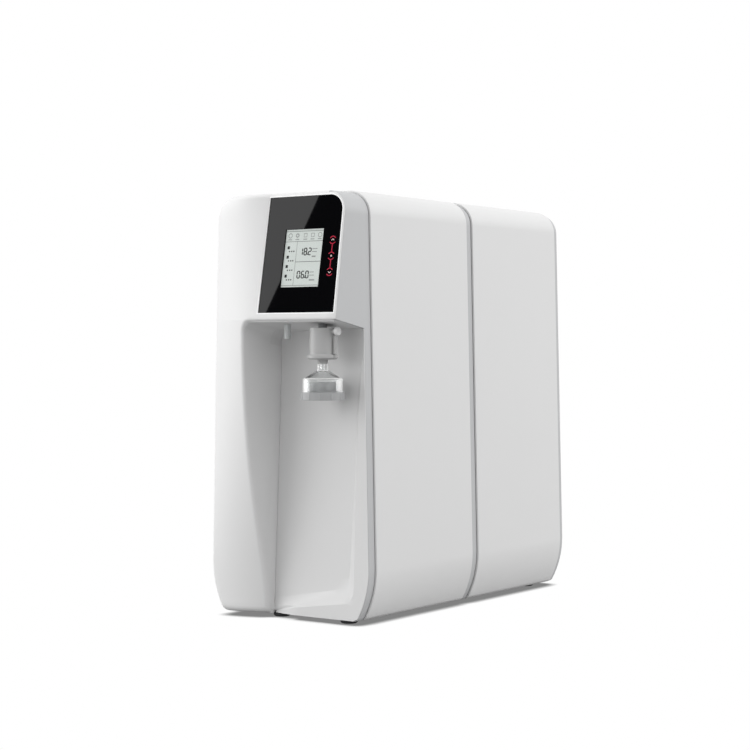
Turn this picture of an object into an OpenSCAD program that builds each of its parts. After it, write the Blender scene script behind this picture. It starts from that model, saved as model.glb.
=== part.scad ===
// Ultrapure water system for a laboratory bench.
// Y runs from the front to the back, X to the right, Z up. Most pieces are placed from the
// front seam, where the covers meet the grey front frame.

/* [Housing] */
// Width of the covers where they are widest
body_w = 220; // [200:1:240]
// Width of the covers at the shoulders
top_w = 202; // [190:1:214]
// Height of the top above the bench
top_z = 498.5; // [480:0.5:520]
// Height of the underside above the bench
under_z = 5; // [4:0.5:8]
// Radius of the top corners
top_r = 30; // [24:1:40]
// Radius of the tucked-in lower sides
tuck_r = 115; // [105:1:125]
// Height where the lower sides start to tuck in
tuck_z = 64.5; // [60:0.5:72]
// Radius between the lower sides and the underside
foot_r = 8; // [7:0.5:10]
// Wall of the side covers
cover_t = 3; // [2:0.25:4]
// Length of the front section of covers
front_len = 206; // [190:1:230]
// Length of the rear section of covers
rear_len = 206; // [190:1:230]
// Width of each grey ring between the covers
ring_w = 13; // [10:0.5:18]
// How far the rings lie below the covers
ring_drop = 2.5; // [1.5:0.25:3.5]
// Width of the hairline gap at a seam
seam = 0.3; // [0.2:0.1:0.6]
// Wall of the rings and frames
frame_t = 4; // [3:0.5:5]
// Thickness of the webs that close the frames
web_t = 3; // [2:0.5:4]

/* [Front] */
// Reach of the display hood in front of the covers
hood_reach = 68; // [62:1:74]
// Height of the lowest straight edge of the hood's face
hood_z = 352; // [346:1:358]
// Lean of the display from upright, in degrees
lean = 10.1; // [6:0.1:14]
// Wall of the front cover
front_t = 3.2; // [2.5:0.1:4]
// Depth of the grey band in front of the seam
band_d = 12.2; // [10:0.1:15]
// X of the left wall of the dispensing space
space_x = -33; // [-40:1:-28]
// Radius of the dispensing space's upper corner
space_r = 12; // [8:1:16]
// Radius of the soft edge round the dispensing space
edge_r = 4.5; // [3:0.5:6]
// How far the hood's lip hangs below its straight edge
lip_drop = 4.2; // [3.5:0.1:6]
// How far the ceiling lies below that straight edge
ceiling_drop = 2.7; // [2:0.1:3.2]
// Depth of the front cover's left edge in front of the seam
left_reach = 33; // [28:1:38]

/* [Display] */
// Width of the glass along its bottom
glass_w = 107.8; // [100:0.1:109]
// Height of the glass along its slope
glass_h = 135.7; // [120:0.1:137]
// Thickness of the glass
glass_t = 2; // [1.5:0.1:2.5]
// How deep the glass lies below the rim round it
glass_sink = 1.2; // [0.8:0.1:2]
// Width of the visible part of the screen
screen_w = 54.2; // [45:0.1:60]
// Height of the visible part of the screen
screen_h = 67.6; // [55:0.1:75]

/* [Outlets] */
// X of the outlet with the final filter
outlet_x = 62.8; // [58:0.1:66]
// X of the small nozzle
nozzle_x = 12.2; // [5:0.1:20]
// Distance of both outlets in front of the seam
outlet_reach = 40; // [36:1:44]
// Diameter of the outlet body
outlet_d = 30; // [26:0.5:32]
// Diameter of the bell
bell_d = 45.5; // [40:0.5:50]
// Diameter of the ring under the bell
bell_ring_d = 50; // [47:0.5:54]
// Diameter of the filter's plug
plug_d = 8; // [7:0.1:9]
// Running gap round plugs, pins and shafts
run_gap = 0.05; // [0.02:0.01:0.1]
// Diameter of the small knob
knob_d = 9.5; // [8:0.5:12]

/* [Inside] */
// Diameter of the cartridges
cartridge_d = 70; // [60:1:76]
// Length of the cartridges below their heads
cartridge_h = 280; // [240:1:300]
// Diameter of the membrane housing
membrane_d = 62; // [50:1:66]
// Diameter of the ultraviolet chamber
lamp_d = 44; // [36:1:50]
// Outer diameter of the water tubes
tube_d = 6.35; // [6:0.05:8]

/* [Hidden] */
$fn = 48;

// How far the water fittings stand out behind the rear frame
rear_sink = 4;
plate_t = 2;
union_l = 11;
union_out = plate_t + union_l - rear_sink;

// Places along Y, from the front seam
mid_y = front_len;
rear_y = mid_y + ring_w + rear_len;
end_y = rear_y + ring_w;
body_l = hood_reach + end_y + union_out;
seam_y = hood_reach - body_l / 2;

// Centres of the side outline's arcs
shoulder_x = top_w / 2 - top_r;
shoulder_z = top_z - top_r;
tuck_x = body_w / 2 - tuck_r;

function arc(c, r, a, b, n) = [for (k = [0:n]) c + r * [cos(a + (b - a) * k / n), sin(a + (b - a) * k / n)]];
function mix(a, b, t) = a + (b - a) * t;
function clamp01(t) = min(1, max(0, t));

// Corner between the tuck and the underside, for an outline set in by i and lifted by up
function foot_rr(i) = max(foot_r - i, 1);
function foot_cz(i, up) = under_z + up + foot_rr(i);
function foot_cx(i, up) = tuck_x + sqrt(pow(tuck_r - i - foot_rr(i), 2) - pow(tuck_z - foot_cz(i, up), 2));
function foot_a(i, up) = atan2(foot_cz(i, up) - tuck_z, foot_cx(i, up) - tuck_x);

// Right half of the body's outline, from the underside up to the top
function right_side(i, up = 0) = concat(
    arc([foot_cx(i, up), foot_cz(i, up)], foot_rr(i), -90, foot_a(i, up), 5),
    arc([tuck_x, tuck_z], tuck_r - i, foot_a(i, up), 0, 8),
    arc([shoulder_x, shoulder_z], top_r - i, 0, 90, 12));
function left_side(i, up = 0) = [for (k = [len(right_side(i, up)) - 1:-1:0])
    [-right_side(i, up)[k].x, right_side(i, up)[k].y]];
function outline(i, up = 0) = concat(right_side(i, up), left_side(i, up));

// Half width of the outline at height z
function half_w(z, i, up = 0) =
    z >= shoulder_z ? shoulder_x + sqrt(max(0, pow(top_r - i, 2) - pow(z - shoulder_z, 2)))
    : z >= tuck_z ? mix(body_w / 2, top_w / 2, (z - tuck_z) / (shoulder_z - tuck_z)) - i
    : z >= foot_cz(i, up) + foot_rr(i) * sin(foot_a(i, up))
        ? tuck_x + sqrt(pow(tuck_r - i, 2) - pow(tuck_z - z, 2))
    : foot_cx(i, up) + sqrt(max(0, pow(foot_rr(i), 2) - pow(foot_cz(i, up) - z, 2)));

// Places a piece that is drawn from the front seam
module placed() {
    translate([0, seam_y, 0]) children();
}

// Stands an XZ outline up and gives it a length from y0 to y1
module along_y(y0, y1) {
    translate([0, y1, 0]) rotate([90, 0, 0]) linear_extrude(y1 - y0) children();
}

// Gives a YZ outline a length along X from x0 to x1
module along_x(x0, x1) {
    translate([x0, 0, 0]) rotate([90, 0, 90]) linear_extrude(x1 - x0) children();
}

module slab(x0, x1, y0, y1, z0, z1) {
    translate([x0, y0, z0]) cube([x1 - x0, y1 - y0, z1 - z0]);
}

module rod(d, z0, z1) {
    translate([0, 0, z0]) cylinder(d = d, h = z1 - z0);
}

module body_prism(i, y0, y1, up = 0) {
    along_y(y0, y1) polygon(outline(i, up));
}

module body_ring(i, t, y0, y1, up = 0) {
    difference() {
        body_prism(i, y0, y1, up);
        body_prism(i + t, y0 - 1, y1 + 1, up + t);
    }
}

// Skins a row of closed sections; each section has the same number of points, and turns
// anticlockwise seen from the next one
module loft(rows) {
    n = len(rows[0]);
    m = len(rows);
    points = [for (row = rows) each row];
    sides = [for (r = [0:m - 2], c = [0:n - 1])
        let (a = r * n + c, b = r * n + (c + 1) % n) each [[a, a + n, b + n], [a, b + n, b]]];
    caps = [[for (c = [0:n - 1]) c], [for (c = [n - 1:-1:0]) (m - 1) * n + c]];
    polyhedron(points = points, faces = concat(sides, caps), convexity = 8);
}

// ---------- Front cover: a bowed column that carries the leaning display hood ----------

// The hood is drawn square and then leans back about the lower edge of its face
module hood_frame() {
    translate([0, -hood_reach, hood_z]) rotate([-lean, 0, 0]) children();
}
function hood_y(y, z) = -hood_reach + y * cos(lean) + z * sin(lean);
function hood_up(y, z) = hood_z - y * sin(lean) + z * cos(lean);

face_i = ring_drop;
glass_x = space_x + 22.8;
corner_r = 5;
low_edge_r = 8;
high_edge_r = 5.5;
lip_z = hood_z - lip_drop * cos(lean);
face_back = -band_d - seam;
crest_z = top_z - ring_drop;

// Line of the dispensing space's left edge seen from the side, as a bezier in Z and Y
edge_path = [[under_z, -18], [95, -27], [165, 2 - hood_reach], [hood_z - 2, 1.3 - hood_reach]];
function bezier(p, t) = pow(1 - t, 3) * p[0] + 3 * t * pow(1 - t, 2) * p[1]
    + 3 * t * t * (1 - t) * p[2] + pow(t, 3) * p[3];
function edge_t(z, lo, hi, n) = n == 0 ? (lo + hi) / 2
    : bezier(edge_path, (lo + hi) / 2).x < z ? edge_t(z, (lo + hi) / 2, hi, n - 1)
    : edge_t(z, lo, (lo + hi) / 2, n - 1);
function edge_y(z) = bezier(edge_path, edge_t(z, 0, 1, 16)).y;

function rim_y(z) = -hood_reach + tan(lean) * (z - hood_z);
function bow(z) = mix(7, 9.4, clamp01(z / hood_z));
function bow_end(z, u) = z >= hood_z - 2 ? rim_y(z)
    : -left_reach + (edge_y(z) + left_reach + 4 * bow(z) * u * (1 - u)) / u;

// A quarter-round edge of radius r, at distance d from the edge
function round_edge(d, r) = d >= r ? 0 : d <= 0 ? r : r - sqrt(r * r - pow(r - d, 2));

// Distance from the outline of the dispensing space, which has one round corner
function space_d(x, z) = x < space_x + space_r && z > lip_z - space_r
    ? norm([x - space_x - space_r, z - lip_z + space_r]) - space_r
    : max(space_x - x, z - lip_z);

function bow_y(x, z, w) = let (u = (x + w) / (glass_x + w), e = (space_x + w) / (glass_x + w))
    x >= glass_x && z >= hood_z - 2 ? rim_y(z)
    : mix(-left_reach, bow_end(z, e), min(u, 1)) - 4 * bow(z) * min(u, 1) * (1 - min(u, 1));
function face_y(x, z) = bow_y(x, z, half_w(z, face_i))
    + round_edge(space_d(x, z), edge_r)
    + round_edge(z - under_z, low_edge_r)
    + round_edge(crest_z - z, high_edge_r);

// One level section of the front cover, from its back left round the face to its back right
function face_row(z) = let (
    w = half_w(z, face_i),
    x1 = corner_r - w,
    corner = [[-w, face_y(-w, z) + corner_r], [-w, face_y(-w, z)], [x1, face_y(x1, z)]],
    across = concat(
        [for (k = [1:6]) mix(x1, space_x - 2.6 * edge_r, k / 6)],
        [for (k = [1.7, 1, 0.62, 0.33, 0.1, -0.06]) space_x - k * edge_r],
        [for (k = [0.25:0.25:1]) space_x + k * space_r],
        [glass_x, w - 1.2]))
    concat(
        [[-w, face_back + 30, z]],
        [for (t = [0:0.25:1])
            concat(pow(1 - t, 2) * corner[0] + 2 * t * (1 - t) * corner[1] + t * t * corner[2], z)],
        [for (x = across) [x, min(face_y(x, z), face_back - 0.5), z]],
        [[w, min(face_y(w - 1.2, z) + 1.2, face_back - 0.3), z], [w, face_back + 30, z]]);

face_z = concat(
    [for (k = [0, 0.6, 2, 4, 6, 8]) under_z + k],
    [22, 34, 48, tuck_z],
    [for (z = [90:30:300]) z],
    [for (k = [2, 1, 0.75, 0.5, 0.25, 0]) lip_z - k * space_r],
    [for (k = [0.1, 0.33, 0.62, 1]) lip_z + k * edge_r],
    [410],
    [for (a = [0, 12, 24, 36, 46, 53, 60, 66, 72, 80, 90]) shoulder_z + (top_r - face_i) * sin(a)]);

// The hollow behind the column, with fewer sections
hollow_z = [under_z + front_t, 14, 24, 40, tuck_z, 110, 160, 210, 270, 330, hood_z + 3, shoulder_z,
    shoulder_z + 12, shoulder_z + 19, crest_z - front_t];
function hollow_row(z) = let (
    w = half_w(z, face_i + front_t, front_t),
    x2 = space_x - front_t)
    concat(
        [[-w, face_back + 40, z], [-w, face_y(3 - w, z) + front_t + 4, z]],
        [for (k = [0:4]) let (x = mix(4 - w, x2, k / 4))
            [x, min(bow_y(x, z, half_w(z, face_i)) + round_edge(z - under_z, low_edge_r)
                + 1.15 * front_t, face_back), z]],
        [[x2, face_back + 40, z]]);

// Outline of the dispensing space, looked at along the hood's own depth
module space_outline(drop) {
    polygon(concat([[130, -drop], [130, -420], [space_x, -420]],
        arc([space_x + space_r, -drop - space_r], space_r, 180, 90, 8)));
}
module dispensing_space() {
    hood_frame() {
        along_y(-40, space_depth) space_outline(lip_drop);
        along_y(lip_t, space_depth) space_outline(ceiling_drop);
        // nothing of the cover is left behind the back panel
        along_y(hood_reach + corner_back - corner_gap, space_depth) space_outline(-space_r - 4);
    }
}
lip_t = 7;
space_depth = 180;
cheek_x = 73;
cheek_y = 1.5;
face_t = glass_sink + glass_t + 1.4;
glass_z0 = 5.3;
screen_x0 = 17;
screen_z0 = 35;
hood_in_z = front_t - ceiling_drop;

// Line where the left wall of the dispensing space meets its back
corner_back = 6.5;
corner_top = 280;
corner_gap = 0.8;
function corner_y(z) = corner_back * (2 * clamp01((z - under_z) / (corner_top - under_z)) - 1);

module front_cover() {
    color("white") placed() difference() {
        loft([for (z = face_z) face_row(z)]);
        loft([for (z = hollow_z) hollow_row(z)]);
        dispensing_space();
        // the column ends at the grey band, and only the inner wall runs on to the back panel
        slab(-130, space_x - front_t, face_back, 60, 0, 520);
        slab(-130, 130, face_back, 60, lip_z - 12, 520);
        along_x(space_x - front_t - 1, space_x + 1)
            polygon([[corner_y(0) - corner_gap, 0], [corner_y(corner_top) - corner_gap, corner_top],
                [corner_y(corner_top) - corner_gap, 400], [60, 400], [60, 0]]);
        // hollow of the hood, open to the back
        intersection() {
            body_prism(face_i + front_t, -hood_reach - 10, 20);
            hood_frame() slab(space_x - front_t - 1, 130, face_t, 100, hood_in_z, 170);
        }
        // room for the grey cheek
        difference() {
            hood_frame() slab(cheek_x - seam, 130, cheek_y - seam, 100, -20, 170);
            body_prism(face_i + front_t + seam, -hood_reach - 10, 20);
        }
        hood_frame() {
            glass_shape(glass_sink + glass_t + seam, 0.3);
            slab(screen_x0 - 3, 91, 0, 8, screen_z0 - 5, screen_z0 + screen_h + 3);
        }
        for (x = [nozzle_x, outlet_x]) translate([x, -outlet_reach, 0]) rod(outlet_hole(x), 320, 360);
    }
}
function outlet_hole(x) = x == nozzle_x ? nozzle_d + 2 * seam : stem_d + 2 * seam;
nozzle_d = 8;
stem_d = 10;

// Glass outline with one round corner, cut depth deep from the face, grown by gap
module glass_shape(depth, gap) {
    taper = tan(0.95) * glass_h;
    r = 19;
    x1 = glass_x + glass_w;
    z1 = glass_z0 + glass_h;
    along_y(-1, depth) polygon(concat(
        [[glass_x - gap, glass_z0 - gap], [x1 + gap, glass_z0 - gap]],
        arc([x1 - taper - r, z1 - r], r + gap, 0, 90, 10),
        [[glass_x - gap, z1 + gap]]));
}

// ---------- Back panel of the dispensing space, with its raised rim and inclined step ----------
rim_front = -band_d - 1.4;
panel_t = 3;
rim_t = 1.1;
panel_in = ring_drop + 0.2;
step_in = [[101.5, 338], [89, 242], [78, 62]];
step_out = [[103, 338], [93.2, 238], [87, 41]];
inner_turn = [54, 62];
outer_turn = [69, 41];
function lerp_path(p, t) = t < 0.4 ? mix(p[0], p[1], t / 0.4) : mix(p[1], p[2], (t - 0.4) / 0.6);

// A row holds the rim's edge R, the step's outer line O and inner line I, and the corner S;
// t is the wall at I
function panel_row(r, o, i, s_z, y, t = panel_t) = let (s = [space_x - front_t, corner_y(s_z), s_z]) [
    [r.x, y[0], r.y], [o.x, y[1], o.y], [i.x, y[2], i.y], s,
    s + [0, panel_t, 0], [i.x, y[2] + t, i.y], [o.x, y[1] + rim_t + 0.1, o.y],
    [r.x, max(y[0], y[1]) + rim_t, r.y]];

panel_rows = concat(
    [for (t = [0, 0.1, 0.2, 0.4, 0.6, 0.8, 1]) let (z = mix(338, tuck_z, t), w = half_w(z, panel_in),
        i = lerp_path(step_in, t), o = lerp_path(step_out, t))
        panel_row([w, z], [min(o.x, w - 0.5), o.y], [min(i.x, w - 1.7), i.y], i.y - 2 * (1 - t),
            [rim_front, rim_front, mix(rim_front + 0.8, -8, clamp01(t * 1.5))],
            mix(rim_t, panel_t, clamp01(t * 4)))],
    [for (k = [1:6]) let (a = -k * 12, b = foot_a(panel_in, 0) * k / 6)
        panel_row([tuck_x + (tuck_r - panel_in) * cos(b), tuck_z + (tuck_r - panel_in) * sin(b)],
            outer_turn + 18 * [cos(a), sin(a)], inner_turn + 24 * [cos(a), sin(a)],
            mix(60, 24, k / 6), [rim_front, rim_front, -8])],
    [for (k = [0:4]) let (t = k / 4)
        panel_row([mix(86, 0, t), under_z + 0.2], mix([72, 23.6], [2, 14], t),
            mix([60, 38.5], [4, 16.5], t), mix(22, 13, t), [rim_front, rim_front, mix(-8, -12.7, t)])],
    [panel_row([-18, under_z + 0.2], [-16, 9], [-14, 12], 9.5, [-10.4, -10.2, -9.8]),
        panel_row([space_x + 2, under_z + 0.2], [space_x + 3, 6.8], [space_x + 4, 8.4], 6.5, [-7.2, -7.1, -7])]);

module recess_panel() {
    color("white") placed() difference() {
        loft(panel_rows);
        // the panel's upper edge follows the ceiling
        hood_frame() slab(-60, 130, 10, 120, -ceiling_drop - seam, 60);
    }
}

// ---------- Grey frames ----------
land_gap = 0.4;
land_i = cover_t + land_gap;
land_l = 8;
web_y = corner_back + panel_t + seam;
rebate_t = 0.9;
rebate_l = 2.4;
open_x = 1;
open_y = -3.1;

module cheek() {
    difference() {
        intersection() {
            body_ring(ring_drop, front_t, -hood_reach - 10, 1 - band_d);
            hood_frame() slab(cheek_x, 130, cheek_y, 110, -ceiling_drop, 170);
        }
        // room for the corner of the glass
        hood_frame() glass_shape(glass_sink + glass_t + seam, seam);
    }
}

module front_frame() {
    color("silver") placed() {
        difference() {
            union() {
                body_ring(ring_drop, frame_t, -band_d, 0);
                body_ring(land_i, frame_t, -1, web_y + web_t, land_i);
                body_prism(land_i + 1, web_y, web_y + web_t, land_i + 1);
                cheek();
            }
            // a rebate takes the edge of the back panel, and the band is open under its left end
            body_prism(ring_drop + rebate_t, -band_d - 1, rebate_l - band_d, rebate_t);
            slab(space_x - front_t - seam, open_x, -band_d - 1, open_y, 0, under_z + frame_t + 1);
            tube_holes(web_y, [nozzle_x, 54]);
        }
    }
}

module mid_frame() {
    y0 = mid_y + seam;
    y1 = mid_y + ring_w - seam;
    color("silver") placed() difference() {
        union() {
            body_ring(ring_drop, frame_t, y0, y1);
            body_ring(land_i, frame_t, mid_y - land_l, mid_y + ring_w + land_l, land_i);
            body_prism(land_i + 1, mid_web_y, mid_web_y + web_t, land_i + 1);
        }
        tube_holes(mid_web_y, [-16]);
    }
}
mid_web_y = mid_y + (ring_w - web_t) / 2;
rear_edge_r = 5;
rear_web_y = end_y - rear_sink - web_t;

// Holes where water tubes pass a web
tube_hole_d = tube_d + 0.6;
module tube_holes(y, xs) {
    for (x = xs) translate([x, y - 1, tube_z]) rotate([-90, 0, 0]) rod(tube_hole_d, 0, web_t + 2);
}

module rear_frame() {
    rows = concat([[rear_y + seam, ring_drop]],
        [for (a = [0:22.5:90]) [end_y - rear_edge_r * (1 - sin(a)), ring_drop + rear_edge_r * (1 - cos(a))]]);
    color("silver") placed() difference() {
        union() {
            loft([for (k = [len(rows) - 1:-1:0]) let (row = rows[k])
                [for (p = outline(row[1])) [p.x, row[0], p.y]]]);
            body_ring(land_i, frame_t, rear_y - land_l, rear_y + seam + 1, land_i);
        }
        body_prism(land_i + frame_t, rear_y - 1, rear_web_y, land_i + frame_t);
        along_y(end_y - rear_sink, end_y + 1) rear_panel_outline(0.4);
        for (p = union_xz) translate([p.x, rear_web_y - 1, p.y]) rotate([-90, 0, 0]) rod(union_d + 4, 0, 20);
        slab(inlet_x - inlet_w / 2 - 1, inlet_x + inlet_w / 2 + 1, rear_web_y - 1, end_y, inlet_z - inlet_h / 2 - 1,
            inlet_z + inlet_h / 2 + 1);
    }
}

// ---------- Covers and base ----------
base_hw = 81.7;

module side_cover(y0, y1) {
    difference() {
        body_prism(0, y0 + seam, y1 - seam);
        body_prism(cover_t, y0 - 1, y1 + 1, cover_t);
        slab(-130, seam / 2, y0 - 1, y1 + 1, 0, 520);
        slab(-130, base_hw + seam, y0 - 1, y1 + 1, 0, under_z + cover_t + 1);
    }
}

module right_front_cover() {
    color("whitesmoke") placed() side_cover(0, mid_y);
}
module left_front_cover() {
    color("whitesmoke") placed() mirror([1, 0, 0]) side_cover(0, mid_y);
}
module right_rear_cover() {
    color("whitesmoke") placed() side_cover(mid_y + ring_w, rear_y);
}
module left_rear_cover() {
    color("whitesmoke") placed() mirror([1, 0, 0]) side_cover(mid_y + ring_w, rear_y);
}

// A folded tray that closes the underside between two frames
module base_tray(y0, y1) {
    slab(-base_hw, base_hw, y0 + seam, y1 - seam, under_z, under_z + land_i);
    for (s = [-1, 1]) {
        translate([s * 75, 0, 0]) slab(-1, 1, y0 + 16, y1 - 16, under_z + land_i - 0.01, under_z + 20);
    }
}
module front_base() {
    color("lightgray") placed() base_tray(0, mid_y);
}
module rear_base() {
    color("lightgray") placed() base_tray(mid_y + ring_w, rear_y);
}

rail_w = 12;
rail_x = 60;
rail_z = 468;
module top_rails() {
    color("gainsboro") placed() for (s = [-1, 1]) translate([s * rail_x, 0, 0]) {
        slab(-rail_w / 2, rail_w / 2, web_y + web_t, mid_web_y, rail_z, rail_z + rail_w);
        slab(-rail_w / 2, rail_w / 2, mid_web_y + web_t, rear_web_y, rail_z, rail_z + rail_w);
    }
}

foot_d = 20;
feet_xy = [[-30, 4], [68, 4], [-68, 100], [-68, rear_y - 20], [68, rear_y - 20]];
module feet() {
    color("dimgray") placed() for (p = feet_xy) translate([p.x, p.y, 0]) rotate_extrude()
        polygon([[0, 0], [foot_d / 2 - 1.5, 0], [foot_d / 2, 1.5], [foot_d / 2, under_z], [0, under_z]]);
}

// ---------- Display ----------
module display_glass() {
    color("black") placed() hood_frame() intersection() {
        glass_shape(glass_sink + glass_t, 0);
        slab(-60, 130, glass_sink, 20, -20, 200);
    }
}

screen_y0 = glass_sink + glass_t;
lcd_t = 4;
module lcd_module() {
    color("darkseagreen") placed() hood_frame() {
        slab(screen_x0, screen_x0 + screen_w, screen_y0 + 0.1, screen_y0 + lcd_t, screen_z0, screen_z0 + screen_h);
        slab(screen_x0 - 2, screen_x0 + screen_w + 2, screen_y0 + 1, screen_y0 + lcd_t, screen_z0 - 4,
            screen_z0 + screen_h + 2);
    }
}
board_y = screen_y0 + lcd_t;
module display_board() {
    color("seagreen") placed() hood_frame() {
        slab(screen_x0 - 8, 93, board_y, board_y + 1.6, screen_z0 - 14, screen_z0 + screen_h + 10);
        slab(30, 52, board_y + 1.6, board_y + 5, 50, 66);
        slab(20, 44, board_y + 1.6, board_y + 9, 84, 94);
        slab(62, 80, board_y + 1.6, board_y + 6, 84, 92);
        // touch sensor pads behind the glass
        for (z = [51.5, 69.9, 88.2]) translate([85.5, 0, z]) rotate([-90, 0, 0]) rod(11, screen_y0 + 0.1, board_y + 0.1);
        // posts that stand on the back of the cover's face
        for (x = [screen_x0 - 5, 89], z = [screen_z0 - 11, screen_z0 + screen_h + 7]) translate([x, 0, z])
            rotate([-90, 0, 0]) rod(5, face_t, board_y);
    }
}

// ---------- Outlets ----------
// Height of the hood's inner floor over the outlets, and of the washers that rest on it
floor_at = hood_z - (hood_reach - outlet_reach) * tan(lean) + hood_in_z / cos(lean);
washer_w = 3;
washer_z = floor_at + (stem_d / 2 + washer_w) * tan(lean) + 0.05;
stem_top = washer_z + 7;
nozzle_top = washer_z + 5;
nozzle_low = 327.5;
body_top = 340;
body_low = 310;
flange_d = 35;
flange_low = 304;
collar_d = 12;
collar_low = 299;
neck_low = 292;
cone_low = 282;
bell_low = 267;
ring_low = 258;
bell_t = 1.5;
plug_l = 9;
knob_z = 336;
knob_x0 = outlet_d / 2 + 3.4;
knob_t = 5;

module at_outlet() {
    placed() translate([outlet_x, -outlet_reach, 0]) children();
}

module permeate_nozzle() {
    color("lightcyan") placed() translate([nozzle_x, -outlet_reach, 0]) difference() {
        union() {
            rod(nozzle_d, nozzle_low, nozzle_top);
            rod(nozzle_d + 2 * washer_w, washer_z, washer_z + 2);
        }
        rod(5, nozzle_low - 1, nozzle_top + 1);
    }
}

module outlet_stem() {
    color("gray") at_outlet() difference() {
        union() {
            rod(stem_d, body_top, stem_top);
            rod(stem_d + 2 * washer_w, washer_z, washer_z + 2.4);
        }
        rod(4, body_top - 1, stem_top + 1);
    }
}

module outlet_body() {
    color("white") at_outlet() difference() {
        union() {
            rod(outlet_d, body_low, body_top);
            // bayonet flange with its two lugs
            rotate_extrude() polygon([[0, flange_low], [flange_d / 2 - 2, flange_low],
                [flange_d / 2, flange_low + 2], [flange_d / 2, body_low - 1.5], [flange_d / 2 - 1.5, body_low], [0, body_low]]);
            for (s = [-1, 1]) translate([s * (flange_d / 2 + 0.6), 0, 0]) rod(4.4, flange_low + 1.4, body_low - 1);
            rod(collar_d, collar_low, flange_low);
            // boss of the small knob
            translate([0, 0, knob_z]) rotate([0, 90, 0]) rod(6.5, outlet_d / 2 - 2, knob_x0 - 0.3);
        }
        rod(plug_d + 2 * run_gap, collar_low - 1, collar_low + plug_l + 1);
        rod(4, collar_low, body_top + 1);
        translate([0, 0, knob_z]) rotate([0, 90, 0]) rod(3 + 2 * run_gap, 8, knob_x0 + 1);
    }
}

module vent_knob() {
    color("gainsboro") at_outlet() translate([0, 0, knob_z]) rotate([0, 90, 0]) {
        rod(3, 8.5, knob_x0 + 0.5);
        difference() {
            rotate_extrude() polygon([[0, knob_x0], [knob_d / 2 - 0.6, knob_x0], [knob_d / 2, knob_x0 + 0.6],
                [knob_d / 2, knob_x0 + knob_t - 1], [knob_d / 2 - 1, knob_x0 + knob_t], [0, knob_x0 + knob_t]]);
            translate([0, 0, knob_x0 + knob_t]) cube([1.2, 6, 1.6], center = true);
        }
    }
}

vent_d = 4.4;
vent_x = outlet_d / 2 + vent_d / 2 + 0.3;
vent_top = knob_z - knob_d / 2 - 0.6;
module vent_tube() {
    color("aliceblue") at_outlet() {
        translate([vent_x, 0, 0]) rod(vent_d, body_low, vent_top);
        translate([0, 0, vent_top - vent_d / 2]) rotate([0, 90, 0]) rod(vent_d - 1, outlet_d / 2, vent_x);
        translate([vent_x, 0, 0]) rod(vent_d + 0.5, body_low, body_low + 2);
    }
}

module filter_bell() {
    r = bell_d / 2;
    color("lightblue", 0.4) at_outlet() difference() {
        rotate_extrude() polygon([[0, neck_low], [collar_d / 2, neck_low], [r, cone_low], [r, ring_top], [0, ring_top]]);
        rotate_extrude() polygon([[0, neck_low - 2], [collar_d / 2 - bell_t, neck_low - 2],
            [r - bell_t, cone_low - 0.8], [r - bell_t, ring_top - 1], [0, ring_top - 1]]);
        rod(4, neck_low - 3, neck_low + 1);
    }
    color("lightblue", 0.4) at_outlet() difference() {
        union() {
            rod(collar_d, neck_low, collar_low - 0.3);
            rod(plug_d, neck_low, collar_low + plug_l);
        }
        rod(4, neck_low - 1, collar_low + plug_l + 1);
    }
}
ring_top = bell_low;

module filter_core() {
    color("darkgray") at_outlet() difference() {
        rod(bell_d - 2 * bell_t - 0.6, ring_top, ring_top + 1.5);
        rod(3, ring_top - 1, ring_top + 3);
    }
    color("darkgray") at_outlet() difference() {
        rod(30, ring_top + 1.4, ring_top + 11);
        rod(3, ring_top, ring_top + 12);
    }
}

module filter_ring() {
    color("gray") at_outlet() difference() {
        union() {
            rod(bell_ring_d, ring_low, ring_top);
            // grips round the ring
            for (a = [0:30:330]) rotate(a) translate([bell_ring_d / 2 - 0.6, 0, 0]) rod(2.4, ring_low + 1, ring_top - 1);
        }
        rod(bell_ring_d - 8, ring_low - 1, ring_top - 2);
        rod(14, ring_low - 1, ring_top + 1);
    }
}

valve_s = 28;
valve_h = 16;
module dispense_valve() {
    color("steelblue") at_outlet() {
        difference() {
            union() {
                translate([-valve_s / 2, -5, stem_top]) cube([valve_s, valve_s + 3, valve_h]);
                translate([0, 10, stem_top + valve_h]) cylinder(d = 22, h = 26);
            }
            rod(4, stem_top - 1, stem_top + 10);
        }
        // bracket down to the ceiling
        difference() {
            valve_bracket();
            rod(stem_d + 2 * washer_w + 2, 330, stem_top - 2);
        }
    }
}
module valve_bracket() {
    intersection() {
        for (s = [-1, 1]) translate([s * (valve_s / 2 - 2), 0, 0])
            slab(-2, 2, -5, valve_s - 4, 330, stem_top + 0.1);
        translate([0, outlet_reach, 0]) hood_frame() slab(-60, 60, -20, 120, hood_in_z + 0.05, 60);
    }
}

// ---------- Rear panel and its fittings ----------
rear_plate_w = 150;
rear_plate_z0 = 34;
rear_plate_z1 = 440;
module rear_panel_outline(gap) {
    w = rear_plate_w / 2 + gap;
    polygon([[-w, rear_plate_z0 - gap], [w, rear_plate_z0 - gap], [w, rear_plate_z1 + gap],
        [-w, rear_plate_z1 + gap]]);
}
union_xz = [[-48, 70], [-16, 70], [-48, 112], [-16, 112]];
union_d = 14;
inlet_x = 40;
inlet_z = 88;
inlet_w = 28;
inlet_h = 68;
rear_screw_d = 4;
rear_screw_xz = [for (x = [-68, 68], z = [42, 237, 432]) [x, z]];

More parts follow.
